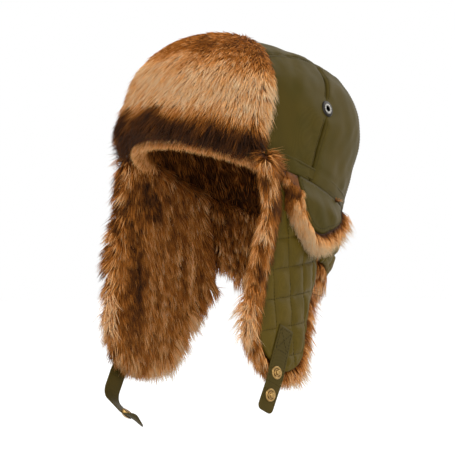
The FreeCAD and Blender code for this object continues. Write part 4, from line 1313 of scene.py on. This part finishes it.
# crown: top-stitching 3 mm from each panel seam
TOP_STITCH_GAP, ABOVE_BAND, EYELET_ROOM = 3, 18, 10
seam_runs = []
for side in (-1, 1):
    for gap in (-TOP_STITCH_GAP, TOP_STITCH_GAP):
        x = side * (STRIP + gap)
        half = HALF_LENGTH * math.sqrt(1 - (x / HALF_WIDTH) ** 2)
        turn = np.linspace(0.02, math.pi - 0.02, 90)
        lift = DOME * math.sqrt(1 - (x / HALF_WIDTH) ** 2)
        low = [(x, -half, z) for z in np.linspace(ABOVE_BAND, WALL, 8)[:-1]]
        high = [(x, half, z) for z in np.linspace(WALL, ABOVE_BAND, 8)[1:]]
        over = np.stack([turn * 0 + x, -half * np.cos(turn), WALL + lift * np.sin(turn)], 1)
        seam_runs.append(on_crown(np.concatenate([low, over, high])))
        y = SIDE_SEAM + gap
        edge_x = HALF_WIDTH * math.sqrt(1 - (y / HALF_LENGTH) ** 2)
        angle = np.linspace(0, math.acos((STRIP + TOP_STITCH_GAP) / edge_x), 30)
        up = [(side * edge_x, y, z) for z in np.linspace(ABOVE_BAND, WALL, 10)[:-1]]
        bend = np.stack([side * edge_x * np.cos(angle), angle * 0 + y, WALL + DOME * np.sin(angle)], 1)
        run = np.concatenate([up, bend])
        clear = np.linalg.norm(np.abs(run) - np.abs(EYELET), axis=1) > EYELET_ROOM
        cut = int(np.argmin(clear)) if not clear.all() else len(run)
        resume = len(run) - int(np.argmin(clear[::-1]))
        seam_runs.append(on_crown(run[:cut]))
        if resume < len(run) - 2:
            seam_runs.append(on_crown(run[resume:]))
piece = sew("crown_stitching", seam_runs, PANELS)
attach(piece, "crown")
turns = np.linspace(0, 2 * math.pi, 361)
band_runs = [on_crown(crown_ring(turns, 0, level)) for level in (4.6, 13.4)]
piece = sew("band_stitching", band_runs, ["crown_band"])
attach(piece, "crown")


def grid_runs(place, outline, mirror, hem=5.0):
    """Quilting lines of a flap or the nape, as runs that stay inside its outline and clear of its hem."""
    low, high = outline.min(0), outline.max(0)
    lines = []
    for row in range(-12, 12):
        across_line = np.linspace(low[0], high[0], 120)
        lines.append(np.stack([across_line, ROW_BASE + row * CELL_DOWN + ROW_RISE * (across_line + 20)], 1))
    for column in range(-14, 14):
        down_line = np.linspace(low[1], high[1], 160)
        lines.append(np.stack([COLUMN_BASE + column * CELL_BACK - 0.02 * down_line, down_line], 1))
    runs = []
    for line in lines:
        inside = inside_outline(line, outline)
        good = inside & (to_edge(line, outline)[0] > hem) & (under_strap(line) < 0.4)
        marks = np.flatnonzero(np.diff(np.concatenate([[0], good.astype(int), [0]])))
        for first, last in marks.reshape(-1, 2):
            if last - first > 4:
                runs.append(on_pad(place, line[first:last], mirror))
    return runs


hem = rounded_outline(cover_steps(-5.0, -0.6, -13.5, -2.0), COVER_SPACING)
for side, mirror in SIDES:
    piece = sew(f"flap_{side}_stitching", grid_runs(flap_place, flap_edge, mirror), [f"flap_{side}_quilt"])
    hang(piece)
    piece = sew(f"ear_cover_{side}_stitching", [on_pad(cover_place, hem, mirror)], [f"ear_cover_{side}_cloth"])
    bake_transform(piece)
piece = sew("nape_stitching", grid_runs(nape_place, nape_outline(0, 0.4, SPACING), False), ["nape_quilt"])
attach(piece, "crown")


# ---------------------------------------------------------------- chin straps
# Each strap is 20 mm of folded olive nylon, edge-stitched, and sewn to its flap's outer face with a boxed
# cross. The left one carries two studs; the right one is longer and curls in, with the socket on its inside.
STRAP_THICK, STRAP_CORNER, TAIL = 1.2, 5.0, 27.0
STRAP_FACE, FOLD_AT = 106.04, (-56.82, -186.0)
CURL_STRAIGHT, CURL_RADIUS, CURL_TURN, CURL_RUN = 12.0, 17.0, math.radians(62), 48.0
# the webbing bends over this length below the sewn end
BEND_DOWN = 4.4
strap_cloth = cloth_material("strap_nylon", (0.080, 0.054, 0.0085), (0.060, 0.043, 0.0070), pitch=820.0)
EDGE_PROFILE = ((1.0, 0.5), (0.97, 0.88), (0.9, 1.0), (0.8, 0.86), (0.7, 1.0), (0.35, 1.0), (0.0, 1.0))
section = list(EDGE_PROFILE) + [(-w, t) for w, t in EDGE_PROFILE[-2::-1]]
section += [(w, 1 - t) for w, t in section[-2:0:-1]]


def strip_of(name, rows, half_at, place):
    """A strap's mesh: its section swept along rows, with both ends closed."""
    w, t = np.array(section).T
    points = [place(np.full(len(w), row), w * half_at(row), t) for row in rows]
    count = len(w)
    faces = []
    for row in range(len(rows) - 1):
        for k in range(count):
            a, b = row * count + k, row * count + (k + 1) % count
            faces.append([a, b, b + count, a + count])
    faces.append(list(range(count))[::-1])
    faces.append([(len(rows) - 1) * count + k for k in range(count)])
    piece = made(name, np.concatenate(points), faces, strap_cloth)
    facing_out(piece)
    return piece


def sewn_place(along, across_by, share):
    """The sewn length on the left flap; its last 12 mm settle into the plane of the tail."""
    back, level = strap_spot(along, across_by)
    face = flap_place(back, level, -0.15 - STRAP_THICK * share)
    flat = STRAP_FACE + STRAP_THICK * share
    face[:, 0] += (flat - face[:, 0]) * step(along, STRAP_SEWN - 14, STRAP_SEWN - 1)
    return face


def below_fold(down, across_by):
    """Front-to-back place and level of a point on a tail, from the fold."""
    back = FOLD_AT[0] - down * math.sin(STRAP_LEAN) + across_by * math.cos(STRAP_LEAN)
    return back, FOLD_AT[1] - down * math.cos(STRAP_LEAN) - across_by * math.sin(STRAP_LEAN)


def tail_place(along, across_by, share):
    """The left tail, hanging in line with its sewn length; along starts at the fold."""
    return np.stack([STRAP_FACE + STRAP_THICK * share, *below_fold(along, across_by)], 1)


def curl_place(along, across_by, share):
    """The right tail: straight down, then in under the chin. Its inner face is at share 0."""
    arc = CURL_RADIUS * CURL_TURN
    past = np.clip(along - CURL_STRAIGHT, 0, arc)
    run = np.maximum(along - CURL_STRAIGHT - arc, 0)
    bent = past / CURL_RADIUS
    droop = 0.011 * np.maximum(run - 27, 0)
    twist = 0.026 * np.maximum(run - 32, 0)
    inward = CURL_RADIUS * (1 - np.cos(bent)) + run * np.sin(CURL_TURN + droop / 2)
    down = np.minimum(along, CURL_STRAIGHT) + CURL_RADIUS * np.sin(bent) + run * np.cos(CURL_TURN + droop / 2)
    thick = STRAP_THICK * (1 - share) - across_by * np.sin(twist)
    x = -STRAP_FACE - STRAP_THICK + inward + thick * np.cos(bent + droop)
    return np.stack([x, *below_fold(down - thick * np.sin(bent + droop), across_by * np.cos(twist))], 1)


def mirrored_place(place):
    """The same place on the wearer's right."""
    return lambda along, across_by, share: place(along, across_by, share) * [-1, 1, 1]


def blunt(end):
    """Half the strap's width along it: full, then the two rounded corners at the end."""

    def half(along):
        into = max(0.0, along - (end - STRAP_CORNER))
        return STRAP_HALF - STRAP_CORNER + math.sqrt(max(STRAP_CORNER**2 - into**2, 0.2))

    return half


ABOVE_STRAP, BEHIND_STRAP = 4, -1.5


def edge_runs(place, first, last, gap=8.0):
    """Stitching down both edges of a strap."""
    runs = []
    for across_by in (-gap, gap):
        along = np.linspace(first, last, 40)
        both = (ABOVE_STRAP, BEHIND_STRAP)
        runs.append([place(along, along * 0 + across_by, along * 0 + share) for share in both])
    return runs


def line_run(place, start, end):
    """Stitching from one point of a strap to another."""
    share = np.linspace(0, 1, 24)
    along, aside = (start[i] + (end[i] - start[i]) * share for i in (0, 1))
    return [place(along, aside, share * 0 + s) for s in (ABOVE_STRAP, BEHIND_STRAP)]


BOX_TOP, BOX_LOW, BOX_HALF = 2.2, 23.0, 7.6
curl_end = CURL_STRAIGHT + CURL_RADIUS * CURL_TURN + CURL_RUN
for side, mirror in SIDES:
    sewn = mirrored_place(sewn_place) if mirror else sewn_place
    anchor = strip_of(f"strap_{side}_sewn_length", np.linspace(0, STRAP_SEWN, 46), lambda along: STRAP_HALF, sewn)
    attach(anchor, f"flap_{side}")
    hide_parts(f"strap_{side}_anchor")
    corners = [(BOX_TOP, -BOX_HALF), (BOX_TOP, BOX_HALF), (BOX_LOW, BOX_HALF), (BOX_LOW, -BOX_HALF)]
    box = [line_run(sewn, a, b) for a, b in zip(corners, corners[1:] + corners[:1])]
    box += [line_run(sewn, corners[0], corners[2]), line_run(sewn, corners[1], corners[3])]
    piece = sew(f"strap_{side}_box_stitching", box + edge_runs(sewn, BOX_LOW + 1, STRAP_SEWN - 2), [anchor.name])
    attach(piece, f"flap_{side}")
    place, end = (curl_place, curl_end) if mirror else (tail_place, TAIL)
    straight = np.linspace(-0.05, end - STRAP_CORNER, 60)
    rounded = end - STRAP_CORNER + STRAP_CORNER * np.sin(np.linspace(0.2, 1.55, 8))
    rows = np.concatenate([straight, rounded])
    tail = strip_of(f"strap_{side}_hanging_length", rows, blunt(end), place)
    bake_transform(tail)
    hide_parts(f"strap_{side}_tail")
    piece = sew(f"strap_{side}_edge_stitching", edge_runs(place, BEND_DOWN + 1, end - 5.5), [tail.name])
    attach(piece, f"strap_{side}")


# ---------------------------------------------------------------- metal
# Press studs in aged brass, with painted shade in the groove round the ball and in the socket's hollow. The
# eyelets are blackened brass with a bright toothed ring round the hole, on steel washers.
rings, given, put = new_group(
    "ringed_metal",
    {
        "Place": "Vector",
        "Centre": "Vector",
        "Ground": "Color",
        "Ring": "Color",
        "Inner": "Float",
        "Outer": "Float",
        "Teeth": "Float",
    },
    {"Colour": "Color", "Roughness": "Float"},
)
centred = add_node(rings, "ShaderNodeVectorMath", {0: given["Place"], 1: given["Centre"]}, operation="SUBTRACT")
level_off = add_node(rings, "ShaderNodeVectorMath", {0: centred.outputs[0], 1: (0, 1, 1)}, operation="MULTIPLY")
radius = add_node(rings, "ShaderNodeVectorMath", {0: level_off.outputs[0]}, operation="LENGTH")
past_inner = add_node(
    rings, "ShaderNodeMath", {0: radius.outputs["Value"], 1: given["Inner"]}, operation="SUBTRACT"
)
before_outer = add_node(
    rings, "ShaderNodeMath", {0: given["Outer"], 1: radius.outputs["Value"]}, operation="SUBTRACT"
)
nearer = add_node(
    rings, "ShaderNodeMath", {0: past_inner.outputs[0], 1: before_outer.outputs[0]}, operation="MINIMUM"
)
in_ring = add_node(
    rings, "ShaderNodeMapRange", {"Value": nearer.outputs[0], "From Min": -0.0001, "From Max": 0.0002}
)
parts = add_node(rings, "ShaderNodeSeparateXYZ", {0: centred.outputs[0]})
angle = add_node(rings, "ShaderNodeMath", {0: parts.outputs[1], 1: parts.outputs[2]}, operation="ARCTAN2")
turned_by = add_node(rings, "ShaderNodeMath", {0: angle.outputs[0], 1: given["Teeth"]}, operation="MULTIPLY")
wave = add_node(rings, "ShaderNodeMath", {0: turned_by.outputs[0]}, operation="SINE")
tooth = add_node(rings, "ShaderNodeMapRange", {"Value": wave.outputs[0], "From Min": -0.5, "From Max": -0.1})
mask = add_node(rings, "ShaderNodeMath", {0: in_ring.outputs[0], 1: tooth.outputs[0]}, operation="MULTIPLY")
mixed = add_node(
    rings, "ShaderNodeMix", {0: mask.outputs[0], 6: given["Ground"], 7: given["Ring"]}, data_type="RGBA"
)
spots = add_node(rings, "ShaderNodeTexNoise", {"Vector": given["Place"], "Scale": 700.0, "Detail": 3.0})
dull = add_node(rings, "ShaderNodeMapRange", {"Value": spots.outputs[0], "To Min": 0.7, "To Max": 1.15})
aged = add_node(rings, "ShaderNodeVectorMath", {0: mixed.outputs[2], 3: dull.outputs[0]}, operation="SCALE")
rough = add_node(rings, "ShaderNodeMapRange", {"Value": spots.outputs[0], "To Min": 0.26, "To Max": 0.46})
rings.links.new(aged.outputs[0], put["Colour"])
rings.links.new(rough.outputs[0], put["Roughness"])


def metal_material(name, centre, ground, ring, inner=0.0, outer=-1.0, teeth=0.0):
    """A metal finish on one fitting, with a ring of a second colour round its centre."""
    material, tree, metal = bare_material(name)
    ringed = {
        "Place": add_node(tree, "ShaderNodeTexCoord").outputs["Object"],
        "Centre": centre,
        "Ground": (*ground, 1),
        "Ring": (*ring, 1),
        "Inner": inner * MM,
        "Outer": outer * MM,
        "Teeth": teeth,
    }
    colour, roughness = add_node(tree, "ShaderNodeGroup", ringed, node_tree=rings).outputs[:2]
    set_inputs(tree, metal, {"Base Color": colour, "Roughness": roughness, "Metallic": 1.0})
    return material


# the second brass is darkened to paint shade into grooves and hollows
BRASS, SHADED_BRASS = (0.40, 0.245, 0.085), (0.14, 0.078, 0.026)
BLACKENED, BRIGHT, WASHER_STEEL = (0.030, 0.026, 0.022), (0.46, 0.44, 0.40), (0.42, 0.41, 0.39)
FITTINGS = (
    # painted shade: a darker ring from 3.3 to 4.4 mm round each stud's centre, in its groove
    (("strap_left_upper_stud", "strap_left_lower_stud"), BRASS, SHADED_BRASS, 3.3, 4.4, 0),
    (("strap_left_upper_post", "strap_left_lower_post"), BRASS, SHADED_BRASS, 0, -1, 0),
    # painted shade: the socket's hollow centre, out to 3.1 mm, in darker brass
    (("strap_right_socket",), BRASS, SHADED_BRASS, 0, 3.1, 0),
    (("strap_right_cap",), BRASS, SHADED_BRASS, 0, -1, 0),
    (("crown_eyelet_left", "crown_eyelet_right"), BLACKENED, BRIGHT, 2.9, 4.7, 18),
    (("flap_left_eyelet", "flap_right_eyelet"), BLACKENED, BRIGHT, 2.9, 4.7, 18),
    (("crown_eyelet_washer_left", "crown_eyelet_washer_right"), WASHER_STEEL, BRIGHT, 0, -1, 0),
    (("flap_left_eyelet_washer", "flap_right_eyelet_washer"), WASHER_STEEL, BRIGHT, 0, -1, 0),
)
for nodes, *finish_values in FITTINGS:
    for node in nodes:
        low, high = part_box(node)
        centre = [(a + b) / 2 for a, b in zip(low, high)]
        finish = metal_material(f"{node}_finish", centre, *finish_values)
        for slot in bpy.data.objects[node].material_slots:
            slot.material = finish
